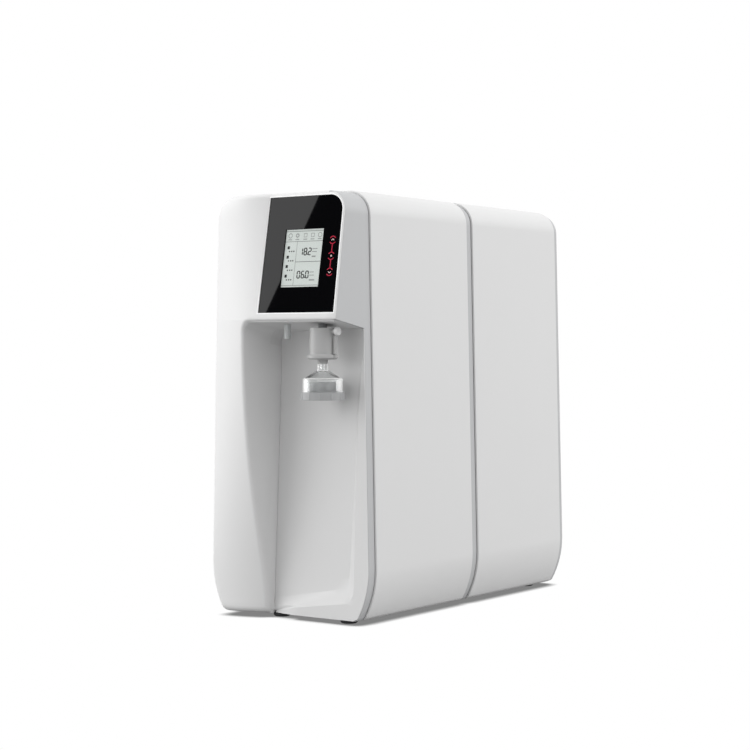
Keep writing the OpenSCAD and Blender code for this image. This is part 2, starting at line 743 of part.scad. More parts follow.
module rear_panel() {
    y0 = end_y - rear_sink;
    color("lightgray") placed() difference() {
        along_y(y0, y0 + plate_t) rear_panel_outline(0);
        for (p = union_xz) translate([p.x, y0 - 1, p.y]) rotate([-90, 0, 0]) rod(union_d + 0.4, 0, 9);
        slab(inlet_x - inlet_w / 2 - 0.1, inlet_x + inlet_w / 2 + 0.1, y0 - 1, y0 + 9, inlet_z - inlet_h / 2 - 0.1,
            inlet_z + inlet_h / 2 + 0.1);
        for (p = rear_screw_xz) translate([p.x, y0 - 1, p.y]) rotate([-90, 0, 0]) rod(rear_screw_d + 0.2, 0, 9);
        // louvres
        for (z = [330:9:412]) slab(-45, 45, y0 - 1, y0 + 9, z, z + 3.5);
    }
}

module panel_screws() {
    y0 = end_y - rear_sink;
    color("silver") placed() for (p = rear_screw_xz) translate([p.x, y0, p.y]) rotate([-90, 0, 0]) {
        rod(rear_screw_d, 0, plate_t);
        rotate_extrude() polygon([[0, plate_t], [3.6, plate_t], [3.2, plate_t + 1.2], [2, plate_t + 1.9], [0, plate_t + 1.9]]);
    }
}

port_r = tube_d / 2 + 0.05;
port_l = 15;
module water_unions() {
    y0 = end_y - rear_sink;
    color("white") placed() for (p = union_xz) translate([p.x, y0, p.y]) rotate([-90, 0, 0]) difference() {
        union() {
            rod(union_d, -14, plate_t + 1);
            translate([0, 0, plate_t]) rotate([0, 0, 30]) cylinder(d = 21, h = 5, $fn = 6);
            translate([0, 0, plate_t + 5]) cylinder(d = 15, h = union_l - 5);
            translate([0, 0, -web_t - 6]) rotate([0, 0, 30]) cylinder(d = 20, h = 6, $fn = 6);
        }
        rod(2 * port_r, plate_t + union_l - port_l, plate_t + union_l + 1);
        rod(4, -15, plate_t);
    }
}

// ---------- Power inlet ----------
inlet_face = end_y + 0.5;
fuse_z = 85;
switch_z = 106;
pin_d = 3;
module power_inlet() {
    back = end_y - rear_sink + plate_t;
    color("black") placed() difference() {
        union() {
            slab(inlet_x - 17, inlet_x + 17, back, inlet_face, inlet_z - 38, inlet_z + 38);
            slab(inlet_x - inlet_w / 2, inlet_x + inlet_w / 2, end_y - 34, back + 1, inlet_z - inlet_h / 2,
                inlet_z + inlet_h / 2);
        }
        // socket with its three pins
        difference() {
            along_y(inlet_face - 17, inlet_face + 1) translate([inlet_x, 67])
                polygon([[-12, -8], [12, -8], [12, 3], [7, 8], [-7, 8], [-12, 3]]);
            for (p = [[-7, -2], [7, -2], [0, 2.5]])
                slab(inlet_x + p.x - 1, inlet_x + p.x + 1, inlet_face - 18, inlet_face - 2, 65 + p.y, 69 + p.y);
        }
        slab(inlet_x - 10, inlet_x + 10, inlet_face - 22, inlet_face + 1, fuse_z - 4.5, fuse_z + 4.5);
        slab(inlet_x - 7, inlet_x + 7, inlet_face - 11, inlet_face + 1, switch_z - 10, switch_z + 10);
        translate([inlet_x - 9.5, inlet_face - 3.5, switch_z]) rotate([0, 90, 0]) rod(pin_d + 2 * run_gap, 0, 19);
    }
}
module rocker_switch() {
    color("firebrick") placed() translate([inlet_x, inlet_face - 3.5, switch_z]) {
        along_x(-6.7, 6.7) polygon([[-2, -9], [3.2, -9], [1.8, 0], [3.2, 9], [-2, 9], [-5, 4], [-5, -4]]);
        rotate([0, 90, 0]) rod(pin_d, -9, 9);
    }
}
module fuse_drawer() {
    color("dimgray") placed() translate([inlet_x, inlet_face, fuse_z]) difference() {
        slab(-9.7, 9.7, -21.7, 1, -4.2, 4.2);
        slab(-7.5, 7.5, -18, -4, -2.6, 5);
        slab(-3, 3, 0, 2, -5, -2.6);
    }
}

// ---------- Front section: cartridges under their shelf ----------
shelf_z = 372;
shelf_t = 3;
head_h = 30;
head_d = 64;
cart_x = 42;
cart_y = [60, 152];
module cartridge_shelf() {
    color("silver") placed() difference() {
        union() {
            slab(-84, 84, web_y + web_t, mid_web_y, shelf_z, shelf_z + shelf_t);
            for (s = [-1, 1]) translate([s * 83, 0, 0]) slab(-1, 1, web_y + web_t, mid_web_y, shelf_z - 14, shelf_z + shelf_t);
        }
        for (s = [-1, 1], y = cart_y) translate([s * cart_x, y, 0]) for (a = [45:90:315])
            rotate(a) translate([22, 0, 0]) rod(4.4, shelf_z - 1, shelf_z + shelf_t + 1);
    }
}
module cartridge_heads() {
    color("whitesmoke") placed() for (s = [-1, 1], y = cart_y) translate([s * cart_x, y, shelf_z - head_h]) {
        cylinder(d = head_d, h = 18);
        translate([0, 0, 18]) cylinder(d = 54, h = head_h - 18);
        for (k = [-1, 1]) translate([0, 0, 9]) rotate([k * 90, 0, 0]) rod(15, 26, 38);
    }
}
module cartridge(s, y, cap) {
    r = cartridge_d / 2;
    z1 = shelf_z - head_h;
    z0 = z1 - cartridge_h;
    placed() translate([s * cart_x, y, 0]) {
        rotate_extrude() polygon(concat(
            [[0, z0], [r - 12, z0]], arc([r - 12, z0 + 12], 12, -90, 0, 6),
            [[r, z1 - 34], [r - 3, z1 - 30], [r - 3, z1 - 6], [r - 6, z1], [0, z1]]));
        if (cap) for (a = [0:20:340]) rotate(a) translate([r - 1, 0, 0]) rod(3, z0 + 16, z0 + 40);
    }
}
module sediment_cartridge() {
    color("white") cartridge(-1, cart_y[0], false);
}
module carbon_cartridge() {
    color("gainsboro") cartridge(-1, cart_y[1], false);
}
module polishing_cartridge_a() {
    color("lightsteelblue") cartridge(1, cart_y[0], true);
}
module polishing_cartridge_b() {
    color("lightsteelblue") cartridge(1, cart_y[1], true);
}

manifold_x = [-55, 62];
manifold_y = [88, 124];
manifold_z = shelf_z + shelf_t;
manifold_h = 34;
coil_x = [-38, 2, 40];
coil_y = 112;
drop_y = 95;
module valve_manifold() {
    color("white") placed() difference() {
        slab(manifold_x[0], manifold_x[1], manifold_y[0], manifold_y[1], manifold_z, manifold_z + manifold_h);
        for (x = coil_x) translate([x, coil_y, 0]) rod(8, manifold_z + manifold_h - 10, manifold_z + manifold_h + 1);
        for (x = [-16, nozzle_x, 54]) translate([x, drop_y, 0])
            rod(4, manifold_z + manifold_h - 12, manifold_z + manifold_h + 1);
    }
}
module solenoid_coils() {
    z = manifold_z + manifold_h;
    color("dimgray") placed() for (x = coil_x) translate([x, coil_y, 0]) {
        rod(22, z, z + 26);
        rod(12, z + 26, z + 30);
        rod(7.6, z - 9, z);
    }
}
module resistivity_cell() {
    color("lightgray") placed() translate([manifold_x[1], 106, manifold_z + 17]) rotate([0, 90, 0]) {
        rod(18, 0, 8);
        rod(14, 8, 24);
    }
}
module pressure_switch() {
    color("gray") placed() translate([manifold_x[0], 106, manifold_z + 17]) rotate([0, -90, 0]) {
        rod(16, 0, 8);
        rod(24, 8, 26);
    }
}

// ---------- Rear section ----------
rear_in = mid_web_y + web_t;
membrane_at = [-52, 262];
membrane_z = [80, 360];
cap_h = 22;
module membrane_housing() {
    color("white") placed() translate([membrane_at.x, membrane_at.y, 0]) rod(membrane_d, membrane_z[0], membrane_z[1]);
}
module membrane_caps() {
    d = membrane_d + 8;
    color("gainsboro") placed() translate([membrane_at.x, membrane_at.y, 0]) {
        for (z = [membrane_z[0] - cap_h, membrane_z[1]]) {
            rod(d, z, z + cap_h);
            for (a = [0:30:330]) rotate(a) translate([d / 2, 0, 0]) rod(4, z + 2, z + cap_h - 2);
        }
        rod(14, membrane_z[1] + cap_h, membrane_z[1] + cap_h + 14);
        rod(14, membrane_z[0] - cap_h - 14, membrane_z[0] - cap_h);
    }
}
// A spring clip that holds a pipe of diameter d, seen from above, on a wall at distance back
module pipe_clip(d, back, h) {
    linear_extrude(h) difference() {
        union() {
            circle(d = d + 6);
            translate([-8, 0]) square([16, back]);
        }
        circle(d = d + 0.4);
        translate([-d, -d * 0.35 - d]) square([2 * d, d]);
    }
}
module membrane_clips() {
    color("dimgray") placed() for (z = [150, 280]) translate([membrane_at.x, membrane_at.y, z])
        mirror([0, 1, 0]) pipe_clip(membrane_d, membrane_at.y - rear_in, 14);
}
lamp_at = [-60, 396];
lamp_z = [150, 420];
module lamp_chamber() {
    color("silver") placed() translate([lamp_at.x, lamp_at.y, 0]) {
        rod(lamp_d, lamp_z[0], lamp_z[1]);
        rod(26, lamp_z[1], lamp_z[1] + 16);
        rod(26, lamp_z[0] - 16, lamp_z[0]);
        for (z = [lamp_z[0] + 18, lamp_z[1] - 18]) translate([0, 0, z]) rotate([0, 90, 0]) rod(12, lamp_d / 2 - 3, lamp_d / 2 + 10);
    }
}
module lamp_clips() {
    color("dimgray") placed() for (z = [190, 370]) translate([lamp_at.x, lamp_at.y, z])
        pipe_clip(lamp_d, rear_web_y - lamp_at.y, 12);
}

motor_d = 86;
pump_x = 38;
pump_z = under_z + land_i + 12 + motor_d / 2;
pump_y = [232, 330];
pump_l = 52;
module pump_motor() {
    color("dimgray") placed() translate([pump_x, pump_y[0], pump_z]) rotate([-90, 0, 0]) {
        rod(motor_d - 6, 0, 8);
        rod(motor_d, 8, pump_y[1] - pump_y[0] - 6);
        rod(motor_d - 8, pump_y[1] - pump_y[0] - 6, pump_y[1] - pump_y[0]);
    }
    // sheet foot under the motor
    color("dimgray") placed() difference() {
        slab(pump_x - 32, pump_x + 32, pump_y[0] + 20, pump_y[1] - 20, pump_z - motor_d / 2 - 2, pump_z - 24);
        translate([pump_x, 0, pump_z]) rotate([-90, 0, 0]) rod(motor_d - 0.02, 0, 400);
    }
}
module pump_head() {
    color("white") placed() translate([pump_x, pump_y[1], pump_z]) {
        slab(-34, 34, 0, pump_l, -34, 34);
        for (s = [-1, 1]) translate([s * 16, 26, 34]) rod(15, 0, 16);
        rotate([-90, 0, 0]) rod(50, pump_l, pump_l + 6);
    }
}
module pump_mounts() {
    z0 = under_z + land_i;
    color("black") placed() for (x = [-22, 22], y = [30, pump_y[1] - pump_y[0] - 30])
        translate([pump_x + x, pump_y[0] + y, 0]) rotate_extrude() polygon([[0, z0], [9, z0], [7, z0 + 5],
            [9, z0 + 10], [0, z0 + 10]]);
}
module circulation_pump() {
    z0 = under_z + land_i;
    color("steelblue") placed() translate([-48, 332, 0]) {
        slab(-24, 24, -24, 24, z0, z0 + 8);
        rod(46, z0 + 8, z0 + 60);
        rod(36, z0 + 60, z0 + 68);
        translate([0, 0, z0 + 28]) rotate([90, 0, 0]) rod(12, 20, 34);
    }
}
module power_supply() {
    color("silver") placed() difference() {
        slab(2, 92, rear_in, rear_in + 42, 190, 350);
        for (z = [210:12:330]) slab(12, 82, rear_in + 39, rear_in + 43, z, z + 5);
    }
}
board_gap = 8;
board_y0 = rear_web_y - board_gap - 1.6;
main_board_x = [2, 88];
main_board_z = [150, 305];
spacer_inset = 6;
module main_board() {
    color("seagreen") placed() {
        slab(main_board_x[0], main_board_x[1], board_y0, board_y0 + 1.6, main_board_z[0], main_board_z[1]);
        slab(20, 44, board_y0 - 14, board_y0, 164, 184);
        for (x = [12:14:68]) slab(x, x + 11, board_y0 - 10, board_y0, 286, 296);
        for (x = [58, 72]) translate([x, board_y0, 200]) rotate([90, 0, 0]) rod(12, 0, 20);
        slab(16, 40, board_y0 - 3, board_y0, 220, 244);
        for (z = [200:12:260]) slab(52, 62, board_y0 - 8, board_y0, z + 20, z + 28);
    }
}
module board_spacers() {
    color("gold") placed() for (x = [main_board_x[0] + spacer_inset, main_board_x[1] - spacer_inset],
        z = [main_board_z[0] + spacer_inset, main_board_z[1] - spacer_inset])
        translate([x, rear_web_y, z]) rotate([90, 0, 0]) rod(6, 0, board_gap);
}

// ---------- Water tubes with their elbows ----------
tube_z = 440;
manifold_top = manifold_z + manifold_h;
union_in = end_y - rear_sink - 14;
runs = [
    [[-16, union_in - 7, 112], [-16, union_in - 7, tube_z], [-16, drop_y, tube_z], [-16, drop_y, manifold_top]],
    [[54, drop_y, manifold_top], [54, drop_y, tube_z], [54, -18, tube_z], [54, -18, stem_top + valve_h]],
    [[nozzle_x, drop_y, manifold_top], [nozzle_x, drop_y, tube_z], [nozzle_x, -18, tube_z],
        [nozzle_x, -18, nozzle_top + 7], [nozzle_x, -outlet_reach, nozzle_top + 7],
        [nozzle_x, -outlet_reach, nozzle_top]]];
elbow = 6;
module tube_between(a, b, ta, tb) {
    v = b - a;
    l = norm(v);
    u = v / l;
    translate(a + ta * u) rotate([0, acos(u.z), atan2(u.y, u.x)]) difference() {
        cylinder(d = tube_d, h = l - ta - tb);
        translate([0, 0, -1]) cylinder(d = tube_d - 2, h = l + 2);
    }
}
module water_tubes() {
    color("aliceblue") placed() for (run = runs) let (last = len(run) - 2)
        for (k = [0:last])
            tube_between(run[k], run[k + 1], k == 0 && run[0].z > 200 ? 0 : elbow, k == last ? 0 : elbow);
}
module tube_elbows() {
    color("white") placed() {
        for (run = runs, k = [1:len(run) - 2]) translate(run[k]) cube(2 * elbow - 0.2, center = true);
        translate(runs[0][0]) {
            cube(2 * elbow - 0.2, center = true);
            rotate([-90, 0, 0]) rod(9, elbow - 0.2, 7);
        }
    }
}

module frame_screws() {
    color("silver") placed() {
        // screws that hold the frames' webs to the rails and the shelf to the heads
        for (s = [-1, 1], y = cart_y) translate([s * cart_x, y, 0]) for (a = [45:90:315])
            rotate(a) translate([22, 0, 0]) {
                rod(4, shelf_z, shelf_z + shelf_t);
                rod(7, shelf_z + shelf_t, shelf_z + shelf_t + 2.4);
            }
    }
}

front_cover();
recess_panel();
front_frame();
mid_frame();
rear_frame();
right_front_cover();
left_front_cover();
right_rear_cover();
left_rear_cover();
front_base();
rear_base();
top_rails();
feet();
display_glass();
lcd_module();
display_board();
permeate_nozzle();
outlet_stem();
outlet_body();
vent_knob();
vent_tube();
filter_bell();
filter_core();
filter_ring();
dispense_valve();
rear_panel();
power_inlet();
rocker_switch();
fuse_drawer();
water_unions();
cartridge_shelf();
cartridge_heads();
sediment_cartridge();
carbon_cartridge();
polishing_cartridge_a();
polishing_cartridge_b();
membrane_housing();
membrane_caps();
membrane_clips();
lamp_chamber();
lamp_clips();
pump_motor();
pump_head();
pump_mounts();
circulation_pump();
valve_manifold();
solenoid_coils();
resistivity_cell();
pressure_switch();
power_supply();
main_board();
board_spacers();
water_tubes();
tube_elbows();
panel_screws();
frame_screws();
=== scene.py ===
import bpy
import bmesh
from math import atan2, cos, degrees, hypot, pi, radians, sin, sqrt, tan
from mathutils import Matrix, Vector


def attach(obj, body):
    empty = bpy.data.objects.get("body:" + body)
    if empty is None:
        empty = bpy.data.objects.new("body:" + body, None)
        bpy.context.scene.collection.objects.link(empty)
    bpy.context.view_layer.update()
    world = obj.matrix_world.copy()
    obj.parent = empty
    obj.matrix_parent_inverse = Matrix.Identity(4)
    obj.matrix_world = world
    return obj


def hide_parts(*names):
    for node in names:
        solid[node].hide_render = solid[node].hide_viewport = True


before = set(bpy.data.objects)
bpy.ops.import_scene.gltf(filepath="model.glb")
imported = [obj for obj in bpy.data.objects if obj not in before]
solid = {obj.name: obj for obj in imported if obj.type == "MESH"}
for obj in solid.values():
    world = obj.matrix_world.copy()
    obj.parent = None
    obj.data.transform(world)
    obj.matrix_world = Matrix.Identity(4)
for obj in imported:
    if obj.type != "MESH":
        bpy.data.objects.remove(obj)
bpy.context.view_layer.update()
scene = bpy.context.scene

# ==== Bench top, studio light and camera ====
# The system stands on a white bench top against a white backdrop. A softbox at the front left
# ends at a black flag, and that slanting edge is mirrored in the display glass. Two more lamps
# fill the front and the right side.


class Wire:
    """One output socket of a material's nodes, which can be used in sums."""

    def __init__(self, finish, socket):
        self.finish, self.socket = finish, socket

    def sum(self, operation, other, swapped=False):
        pair = [other, self] if swapped else [self, other]
        return self.finish.node("Math", {"operation": operation}, {0: pair[0], 1: pair[1]})

    def __add__(self, other):
        return self.sum("ADD", other)

    def __sub__(self, other):
        return self.sum("SUBTRACT", other)

    def __rsub__(self, other):
        return self.sum("SUBTRACT", other, True)

    def __mul__(self, other):
        return self.sum("MULTIPLY", other)

    def __gt__(self, other):
        return self.sum("GREATER_THAN", other)

    def __lt__(self, other):
        return self.sum("LESS_THAN", other)

    def most(self, other):
        return self.sum("MAXIMUM", other)

    __radd__ = __add__


class Finish:
    """A material whose nodes are asked for by kind, with settings first and then inputs."""

    def __init__(self, name, look=None, world=None):
        self.owner = world or bpy.data.materials.new(name)
        self.owner.use_nodes = True
        self.nodes, self.links = self.owner.node_tree.nodes, self.owner.node_tree.links
        self.shader = self.nodes.get("Principled BSDF") or self.nodes["Background"]
        for key, value in (look or {}).items():
            self.feed(key, value)

    def feed(self, key, value, node=None):
        socket = (node or self.shader).inputs[key]
        if isinstance(value, Wire):
            self.links.new(value.socket, socket)
        elif socket.type == "RGBA" and not isinstance(value, (int, float)):
            socket.default_value = (*value[:3], 1)
        else:
            socket.default_value = value

    def node(self, kind, settings=None, inputs=None, output=0):
        made = self.nodes.new("ShaderNode" + kind)
        for key, value in (settings or {}).items():
            setattr(made, key, value)
        for key, value in (inputs or {}).items():
            self.feed(key, value, made)
        return Wire(self, made.outputs[output])

    def place(self, stretch=(1, 1, 1), turn=(0, 0, 0)):
        """Object coordinates in metres, stretched or turned."""
        where = self.node("TexCoord", output=3)
        return self.node("Mapping", inputs={"Vector": where, "Rotation": turn, "Scale": stretch})

    def across_and_up(self, where):
        """The X and Z of a place, each on its own."""
        parts = self.nodes.new("ShaderNodeSeparateXYZ")
        self.feed(0, where, parts)
        return Wire(self, parts.outputs[0]), Wire(self, parts.outputs[2])

    def noise(self, scale, detail=2.0, **lay):
        return self.node("TexNoise", inputs={"Vector": self.place(**lay), "Scale": scale, "Detail": detail})

    def mixed(self, first, second, share):
        made = self.nodes.new("ShaderNodeMix")
        made.data_type = "RGBA"
        for index, value in ((0, share), (6, first), (7, second)):
            self.feed(index, value, made)
        return Wire(self, made.outputs[2])

    def blended(self, second, share):
        """Mixes the main shader with a second one."""
        first = Wire(self, self.shader.outputs[0])
        both = self.node("MixShader", inputs={0: share, 1: first, 2: second})
        self.feed(0, both, self.nodes["Material Output"])

    def bump(self, height, depth, strength):
        self.feed("Normal", self.node("Bump", inputs={
            "Height": height, "Distance": depth, "Strength": strength}))


studio = bpy.data.worlds.new("studio")
scene.world = studio
air = Finish("air", world=studio)
air.feed("Color", (1, 1, 1))
air.feed("Strength", 1.0)

bench_form = bmesh.new()
bmesh.ops.create_grid(bench_form, x_segments=1, y_segments=1, size=40)
bench_mesh = bpy.data.meshes.new("bench_top")
bench_form.to_mesh(bench_mesh)
bench = bpy.data.objects.new("bench_top", bench_mesh)
scene.collection.objects.link(bench)
laminate = Finish("white laminate", {
    "Base Color": (0.3, 0.3, 0.3), "Roughness": 0.7, "Specular IOR Level": 0.2})
# Where it is looked at, the laminate shines white like the backdrop, with a thin contact shadow painted in
# from ambient occlusion.
contact_reach, shadow_grey = 0.013, 0.22
openness = laminate.node("AmbientOcclusion", {"samples": 16}, {"Distance": contact_reach}, output=1)
grey = laminate.node("MapRange", inputs={0: openness, 1: 0.35, 2: 0.93, 3: shadow_grey, 4: 1.0})
painted_contact_shadow = laminate.node("CombineColor", inputs={0: grey, 1: grey, 2: grey})
looks = [laminate.node("LightPath", output=f"Is {ray} Ray") for ray in ("Camera", "Glossy", "Transmission")]
laminate.blended(laminate.node("Emission", inputs={"Color": painted_contact_shadow}), looks[0].most(looks[1]).most(looks[2]))
bench_mesh.materials.append(laminate.owner)


def stand(piece, middle, along, facing):
    """Stands a card or lamp at its middle, with its height along one line, facing another."""
    back = -facing.normalized()
    up = (along - along.dot(back) * back).normalized()
    side = up.cross(back)
    piece.matrix_world = Matrix((side, up, back)).transposed().to_4x4()
    piece.location = middle
    scene.collection.objects.link(piece)


def lamp(name, middle, target, width, height, watts, along=Vector((0, 0, 1))):
    made = bpy.data.lights.new(name, "AREA")
    made.shape, made.size, made.size_y, made.energy = "RECTANGLE", width, height, watts
    stand(bpy.data.objects.new(name, made), middle, along, target - middle)
    return scene.objects[name]


core = Vector((0, -0.1, 0.3))
# The mirrored edge runs between these two places, as the camera sees it in the glass.
edge_low, edge_high = Vector((-1.558, -2.0715, 1.078)), Vector((-1.437, -2.0285, 1.375))
edge_way = (edge_high - edge_low).normalized()
edge_mid = (edge_low + edge_high) / 2
glass_middle = Vector((0.04, -0.245, 0.42))
toward = (glass_middle - edge_mid).normalized()
out = edge_way.cross(toward).normalized()
out = out if out.x < 0 else -out
softbox_w, softbox_h, flag_w, flag_h, behind = 3.4, 4.6, 2.2, 5.2, 0.02
aside = out * softbox_w / 2
lamp("softbox", edge_mid + aside, glass_middle + aside, softbox_w, softbox_h, 37, edge_way)
front_fill = lamp("front_fill", Vector((-2.2, -2.0, 0.75)), core, 3.4, 2.4, 45)
front_fill.visible_glossy = False
lamp("side_fill", Vector((2.5, 1.4, 1.9)), core, 2.0, 2.0, 35)

flag_form = bmesh.new()
bmesh.ops.create_grid(flag_form, x_segments=1, y_segments=1, size=0.5)
bmesh.ops.scale(flag_form, vec=(flag_w, flag_h, 1), verts=flag_form.verts)
flag_mesh = bpy.data.meshes.new("black_flag")
flag_form.to_mesh(flag_mesh)
flag = bpy.data.objects.new("black_flag", flag_mesh)
stand(flag, edge_mid - out * flag_w / 2 - toward * behind, edge_way, toward)
flag.visible_camera = flag.visible_diffuse = False
flag.visible_shadow = flag.visible_transmission = False
flag_mesh.materials.append(Finish("black velvet", {
    "Base Color": (0.002, 0.002, 0.002), "Roughness": 1.0, "Specular IOR Level": 0.0}).owner)

camera = bpy.data.objects.new("camera", bpy.data.cameras.new("camera"))
camera.location = (1.29367, -1.87448, 0.31804)
camera.rotation_euler = (radians(90), 0, radians(35.149))
camera.data.sensor_width, camera.data.lens, camera.data.shift_y = 36, 86.78, -0.0371
scene.collection.objects.link(camera)
scene.camera = camera
scene.view_settings.view_transform = "Standard"

# ==== Base trays and feet ====
# Two folded trays of painted steel close the underside between the frames. Each tray stands on
# turned rubber feet that are screwed up into it.


def moulded(name, colour, rough=0.42, grain=0.12, mottle=0.03, look=None):
    """Moulded plastic or paint: a faint cloud in its colour and gloss, and a fine grain."""
    made = Finish(name, look)
    cloud = made.noise(9.0, 3.0)
    made.feed("Base Color", made.mixed(colour, [c * (1 - mottle) for c in colour], cloud))
    made.feed("Roughness", rough + (cloud - 0.5) * 0.12)
    made.bump(made.noise(1400.0), 0.00006, grain)
    return made.owner


def brushed(name, colour, rough=0.32, along=(1, 60, 60), tint=0.12):
    """Bare metal with the fine straight lines that rolling or brushing leaves."""
    made = Finish(name, {"Metallic": 1.0})
    lines = made.noise(26.0, 4.0, stretch=along)
    made.feed("Base Color", made.mixed(colour, [c * (1 - tint) for c in colour], lines))
    made.feed("Roughness", rough + (lines - 0.5) * 0.18)
    made.bump(lines, 0.00004, 0.25)
    return made.owner


def softener(corner):
    """Shades round faces smoothly and leaves edges sharper than the corner angle crisp."""
    tree = bpy.data.node_groups.new("soft_round", "GeometryNodeTree")
    for way in ("INPUT", "OUTPUT"):
        tree.interface.new_socket("Geometry", in_out=way, socket_type="NodeSocketGeometry")
    enter, leave = tree.nodes.new("NodeGroupInput"), tree.nodes.new("NodeGroupOutput")
    faces, edges = [tree.nodes.new("GeometryNodeSetShadeSmooth") for _ in range(2)]
    angle = tree.nodes.new("GeometryNodeInputMeshEdgeAngle")
    sharp = tree.nodes.new("FunctionNodeCompare")
    edges.domain, sharp.data_type, sharp.operation = "EDGE", "FLOAT", "GREATER_THAN"
    sharp.inputs[1].default_value = corner
    edges.inputs["Shade Smooth"].default_value = False
    for source, target in ((angle, sharp.inputs[0]), (sharp, edges.inputs["Selection"]),
                           (enter, faces.inputs[0]), (faces, edges.inputs[0]), (edges, leave.inputs[0])):
        tree.links.new(source.outputs[0], target)
    return tree


soft_round = softener(radians(38))


def dress(names, finish, edge=0.0003):
    """Gives nodes their finish and a small broken edge. Plates with wide faces keep crisp edges."""
    for name in names.split():
        piece = solid[name]
        piece.data.materials.clear()
        piece.data.materials.append(finish)
        merge = piece.modifiers.new("merge", "WELD")
        merge.merge_threshold = 0.000002
        if edge:
            broken = piece.modifiers.new("edge", "BEVEL")
            broken.width, broken.segments, broken.limit_method = edge, 2, "ANGLE"
            broken.angle_limit, broken.use_clamp_overlap = radians(48), False
        piece.modifiers.new("soft", "NODES").node_group = soft_round
        piece.modifiers.new("normals", "WEIGHTED_NORMAL").keep_sharp = True


tray_paint = moulded("grey tray paint", (0.42, 0.43, 0.44), 0.5, 0.3)
foot_rubber = moulded("black foot rubber", (0.035, 0.035, 0.037), 0.75, 0.6, 0.2)
dress("front_base rear_base", tray_paint)
dress("feet", foot_rubber, 0.0005)

# ==== Grey frames ====
# Three moulded grey frames carry the covers. Each shows as a narrow ring that lies a little
# below them, and the front one also has the cheek beside the display.
ring_grey = moulded("frame grey", (0.50, 0.505, 0.512), 0.48, 0.14)
dress("front_frame mid_frame rear_frame", ring_grey, 0.0005)

# ==== Cartridges, shelf and tubes inside ====
# Four push-in cartridges hang from heads under a folded steel shelf, behind the front covers.
# Beside them run clear water tubes with moulded elbows.
cartridge_white = moulded("cartridge white", (0.72, 0.74, 0.75), 0.38)
cartridge_grey = moulded("carbon cartridge grey", (0.42, 0.44, 0.46), 0.4)
cartridge_blue = moulded("polishing cartridge blue", (0.25, 0.38, 0.58), 0.36)
head_white = moulded("head white", (0.62, 0.63, 0.64), 0.4)
zinc = brushed("zinc plated steel", (0.62, 0.63, 0.65), 0.34)
dress("sediment_cartridge", cartridge_white)
dress("carbon_cartridge", cartridge_grey)
dress("polishing_cartridge_a polishing_cartridge_b", cartridge_blue)
dress("cartridge_heads", head_white)
dress("cartridge_shelf top_rails", zinc)
tube_clear = moulded("tube polymer", (0.74, 0.79, 0.82), 0.25, 0.05, 0.05,
                     {"Transmission Weight": 0.35, "IOR": 1.4})
dress("water_tubes", tube_clear, 0)
dress("tube_elbows", head_white)

# ==== Membrane, lamp chamber, pumps and valves ====
# The rear section holds the membrane in its white housing, the steel lamp chamber in its clips,
# the booster pump with its motor, the circulation pump and the valve manifold.
steel = brushed("polished steel", (0.70, 0.70, 0.71), 0.2, (40, 40, 1))
black_paint = moulded("black motor paint", (0.03, 0.03, 0.033), 0.4, 0.3, 0.2)
valve_blue = moulded("coil blue", (0.05, 0.14, 0.30), 0.42, 0.2)
dress("membrane_housing membrane_caps", cartridge_white)
dress("membrane_clips lamp_clips pump_mounts", black_paint)
dress("lamp_chamber", steel)
dress("pump_motor", black_paint)
dress("pump_head circulation_pump valve_manifold pressure_switch", head_white)
dress("solenoid_coils resistivity_cell dispense_valve", valve_blue)

# ==== Power supply and boards ====
# A folded steel power supply and the main board on brass spacers stand in the rear section,
# and a small board holds the screen behind the front cover.


def circuit(name):
    """Green solder mask with faint copper runs under it."""
    made = Finish(name, {"Roughness": 0.35, "Coat Weight": 0.3})
    runs = made.node("TexBrick", {"offset": 0.5}, {
        "Vector": made.place(turn=(radians(90), 0, 0)), "Scale": 90.0, "Mortar Size": 0.06,
        "Color1": (0.02, 0.12, 0.05), "Color2": (0.03, 0.16, 0.07), "Mortar": (0.06, 0.26, 0.12)})
    made.feed("Base Color", runs)
    made.bump(made.noise(900.0), 0.00005, 0.3)
    return made.owner


board_green = circuit("board green")
brass = brushed("brass", (0.72, 0.52, 0.22), 0.3)
dress("power_supply", zinc)
dress("main_board display_board", board_green, 0)
dress("board_spacers", brass, 0.0002)
dress("frame_screws", zinc, 0.0002)

# ==== Rear panel and its fittings ====
# A painted steel panel sits sunk in the rear frame, with louvres, four water unions and the
# power inlet, whose red rocker switch and fuse drawer move.
panel_paint = moulded("panel paint", (0.52, 0.53, 0.54), 0.5, 0.35)
inlet_black = moulded("inlet black", (0.02, 0.02, 0.022), 0.38, 0.2, 0.2)
rocker_red = moulded("rocker red", (0.50, 0.03, 0.025), 0.3, 0.05, 0.1)
fuse_grey = moulded("fuse drawer grey", (0.10, 0.10, 0.105), 0.4)
dress("rear_panel", panel_paint, 0)
dress("panel_screws", steel, 0.0002)
dress("water_unions", head_white)
dress("power_inlet", inlet_black)
dress("rocker_switch", rocker_red)
dress("fuse_drawer", fuse_grey)

# ==== Front cover ====
# One thick white moulding: a bowed column on the left and the leaning display hood above the
# dispensing space. Its edge round that space is softly rounded, and clips hold it on the frame.


seam_ahead = 189.5


def at(x, y, z):
    """A place in millimetres from the front seam."""
    return Vector((x, y - seam_ahead, z)) / 1000


lean, reach, hood_low = radians(10.1), 68.0, 352.0


def on_hood(x, y, z):
    """A place in millimetres on the leaning hood, from the lower edge of its face."""
    return at(x, -reach + y * cos(lean) + z * sin(lean), hood_low - y * sin(lean) + z * cos(lean))


def mix(a, b, t):
    return a + (b - a) * t


def held(t):
    return min(1.0, max(0.0, t))


under, foot_r, waist_x, chest_x = 5.0, 8, 110, 101
tuck_x, tuck_z, tuck_r, shoulder_x, shoulder_z, shoulder_r = -5.0, 64.5, 115.0, 71.0, 468.5, 30


